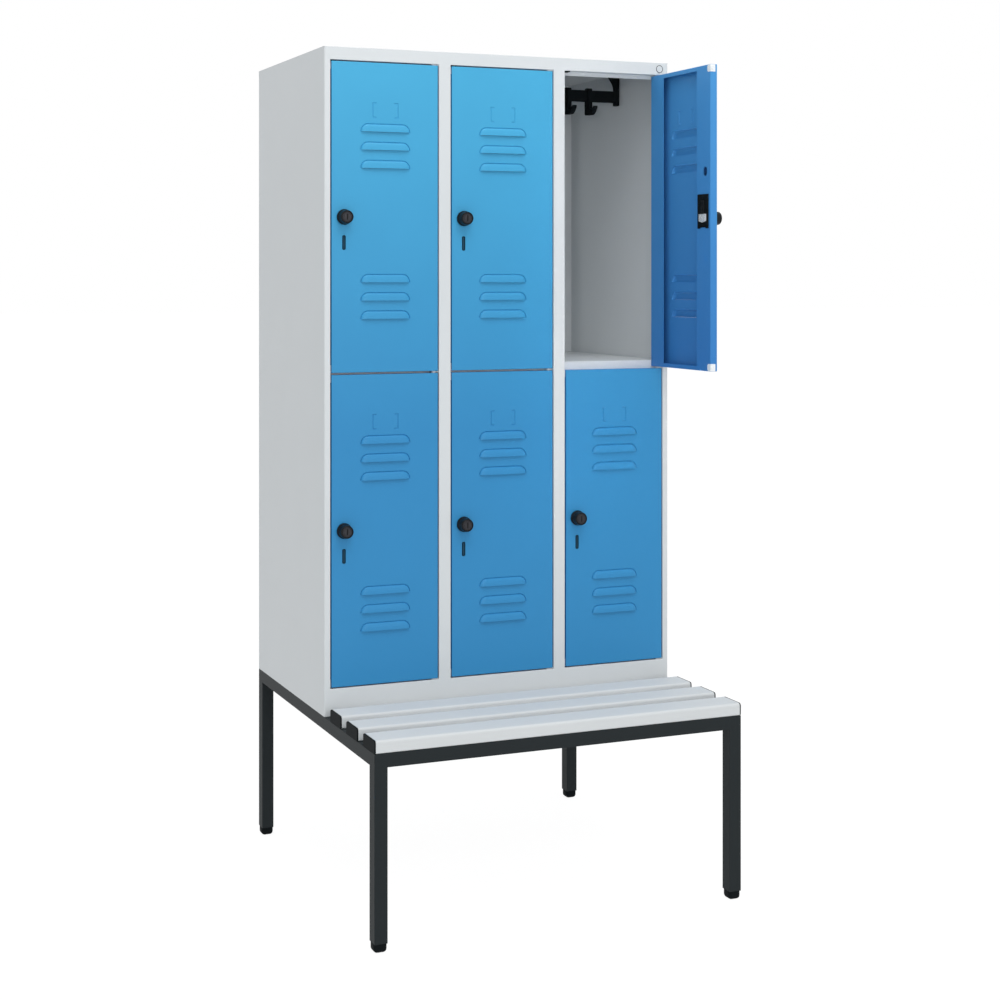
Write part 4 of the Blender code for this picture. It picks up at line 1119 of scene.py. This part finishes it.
class LOCKER_OT_build_bench(Operator):
    """Build the three bench slats with their end caps"""

    bl_idname = "locker.build_bench"
    bl_label = "Bench"

    def execute(self, context):
        for row in ("front", "middle", "back"):
            low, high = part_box(f"slat_{row}")
            bm = slat_length(low, high)
            make_piece(bm, f"seat_slat_{row}", "cabinet", "slat_plastic", [f"slat_{row}"])
            for side, end, outward in (("left", low.x, -1), ("right", high.x, 1)):
                left, right = sorted((end + outward * CAP_GAP, end + outward * CAP_REACH))
                bm = slat_length(Vector((left, low.y, low.z)), Vector((right, high.y, high.z)))
                bevel(bm, sharp_edges(bm), 0.0008, 2)
                node = f"slat_cap_{row}_{side}"
                make_piece(bm, f"end_cap_{row}_{side}", "cabinet", "black_plastic", [node])
        return {"FINISHED"}


class LOCKER_OT_build_badge(Operator):
    """Build the plain round badge on the top fascia"""

    bl_idname = "locker.build_badge"
    bl_label = "Badge"

    def execute(self, context):
        sizes = context.scene.locker_sizes
        radius, height = sizes.badge_radius, sizes.badge_height
        middle = BODY + Vector((WIDTH - BADGE_INSET, 0, HEIGHT - BADGE_DROP))
        place = Matrix.Translation(middle) @ FACING_FRONT
        inner, face = radius * 0.88, height * 0.6
        rim = [
            (inner, -BADGE_SINK), (radius, -BADGE_SINK), (radius, face), (radius * 0.97, height),
            (radius * 0.91, height), (inner, face), (inner, -BADGE_SINK),
        ]
        disc = [
            (0, -BADGE_SINK), (inner, -BADGE_SINK), (inner, height * 0.5), (inner * 0.96, face),
            (0, face),
        ]
        for name, outline, slot in (
            ("badge_rim", rim, "black_plastic"), ("badge_disc", disc, "cabinet_paint"),
        ):
            bm = bmesh.new()
            add_turned(bm, outline, place, 48)
            make_piece(bm, name, "cabinet", slot)
        return {"FINISHED"}


def soft_light(name, place, target, width, height, power, beam=180):
    """Add a rectangular area light that faces a target, with a beam of some degrees."""
    lamp = bpy.data.lights.new(name, "AREA")
    lamp.shape = "RECTANGLE"
    lamp.size = width
    lamp.size_y = height
    lamp.energy = power
    lamp.spread = math.radians(beam)
    light = bpy.data.objects.new(name, lamp)
    light.location = place
    light.rotation_euler = (Vector(target) - Vector(place)).to_track_quat("-Z", "Y").to_euler()
    bpy.context.scene.collection.objects.link(light)


def seen_directly(tree):
    """1 where a ray comes from the camera, a mirror or glass, and 0 elsewhere."""
    path = add_node(tree, "ShaderNodeLightPath")
    seen = path.outputs["Is Camera Ray"]
    for name in ("Is Glossy Ray", "Is Transmission Ray"):
        seen = add_node(
            tree, "ShaderNodeMath", {"operation": "MAXIMUM"}, links={0: seen, 1: path.outputs[name]}
        ).outputs[0]
    return seen


def blend_to(tree, output, share, hidden, shown):
    """Blend two shaders by a share and feed them to an output node."""
    mixed = add_node(
        tree, "ShaderNodeMixShader", links={0: share, 1: hidden.outputs[0], 2: shown.outputs[0]}
    )
    add_node(tree, output, links={"Surface": mixed.outputs[0]})


class LOCKER_OT_build_stage(Operator):
    """Build the white floor, the studio lights and the camera"""

    bl_idname = "locker.build_stage"
    bl_label = "Stage"

    def execute(self, context):
        scene = context.scene
        bm = bmesh.new()
        bmesh.ops.create_grid(bm, x_segments=1, y_segments=1, size=60)
        mesh = bpy.data.meshes.new("floor")
        bm.to_mesh(mesh)
        bm.free()
        floor = bpy.data.objects.new("floor", mesh)
        scene.collection.objects.link(floor)
        material = bpy.data.materials.new("white_studio_floor")
        tree = emptied_tree(material)
        matt = add_node(tree, "ShaderNodeBsdfDiffuse", values={"Color": (0.8, 0.8, 0.8, 1)})
        glow = add_node(tree, "ShaderNodeEmission", values={"Strength": 1.09})
        share = add_node(
            tree, "ShaderNodeMath", {"operation": "MULTIPLY"}, {1: 0.86}, {0: seen_directly(tree)}
        )
        blend_to(tree, "ShaderNodeOutputMaterial", share.outputs[0], matt, glow)
        mesh.materials.append(material)

        world = bpy.data.worlds.new("white_studio")
        tree = emptied_tree(world)
        soft, white = (
            add_node(tree, "ShaderNodeBackground", values={"Color": tint, "Strength": strength})
            for tint, strength in (((0.97, 0.987, 1, 1), 0.70), ((1, 1, 1, 1), 1.0))
        )
        blend_to(tree, "ShaderNodeOutputWorld", seen_directly(tree), soft, white)
        scene.world = world

        soft_light("front", (-0.4, -5.3, 1.8), (0, 0, 1.2), 3.0, 2.0, 46)
        soft_light("top", (-0.3, -2.4, 5.6), (0, -0.2, 0.8), 3.4, 2.6, 120)
        soft_light("side", (-2.6, 1.6, 4.2), (-0.45, 0.15, 1.7), 2.0, 2.0, 6)
        # A narrow beam into the open compartment
        soft_light("opening", (-1.50, -2.75, 1.39), (0.245, -0.09, 1.37), 0.12, 1.04, 0.145, 9)

        camera_data = bpy.data.cameras.new("camera")
        camera_data.sensor_width = 36
        camera_data.lens = 59.364
        camera_data.shift_x = 0.159
        camera_data.shift_y = -0.2225
        camera = bpy.data.objects.new("camera", camera_data)
        camera.location = (-1.710, -3.6335, 1.422)
        camera.rotation_euler = (math.radians(90), 0, -math.asin(0.3448))
        scene.collection.objects.link(camera)
        scene.camera = camera
        scene.view_settings.view_transform = "Standard"
        return {"FINISHED"}


class LOCKER_PT_pieces(Panel):
    """Sizes, colours and pieces of the locker"""

    bl_label = "Double Tier Locker"
    bl_idname = "LOCKER_PT_pieces"
    bl_space_type = "VIEW_3D"
    bl_region_type = "UI"
    bl_category = "Locker"

    def draw(self, context):
        for group in (context.scene.locker_sizes, context.scene.locker_colours):
            box = self.layout.box()
            for name in group.__annotations__:
                box.prop(group, name)
        for operator in OPERATORS:
            self.layout.operator(operator.bl_idname)


OPERATORS = (
    LOCKER_OT_build_body,
    LOCKER_OT_build_doors,
    LOCKER_OT_build_locks,
    LOCKER_OT_build_rails,
    LOCKER_OT_build_frame,
    LOCKER_OT_build_bench,
    LOCKER_OT_build_badge,
    LOCKER_OT_build_stage,
)
CLASSES = (LockerSizes, LockerColours, *OPERATORS, LOCKER_PT_pieces)


def register():
    """Register the classes and hang the settings on the scene."""
    for item in CLASSES:
        bpy.utils.register_class(item)
    bpy.types.Scene.locker_sizes = PointerProperty(type=LockerSizes)
    bpy.types.Scene.locker_colours = PointerProperty(type=LockerColours)


def unregister():
    """Remove the settings and the classes."""
    del bpy.types.Scene.locker_colours
    del bpy.types.Scene.locker_sizes
    for item in reversed(CLASSES):
        bpy.utils.unregister_class(item)


def main():
    """Build every piece and the stage."""
    register()
    bpy.ops.locker.build_body()
    bpy.ops.locker.build_doors()
    bpy.ops.locker.build_locks()
    bpy.ops.locker.build_rails()
    bpy.ops.locker.build_frame()
    bpy.ops.locker.build_bench()
    bpy.ops.locker.build_badge()
    bpy.ops.locker.build_stage()


if __name__ == "__main__":
    main()
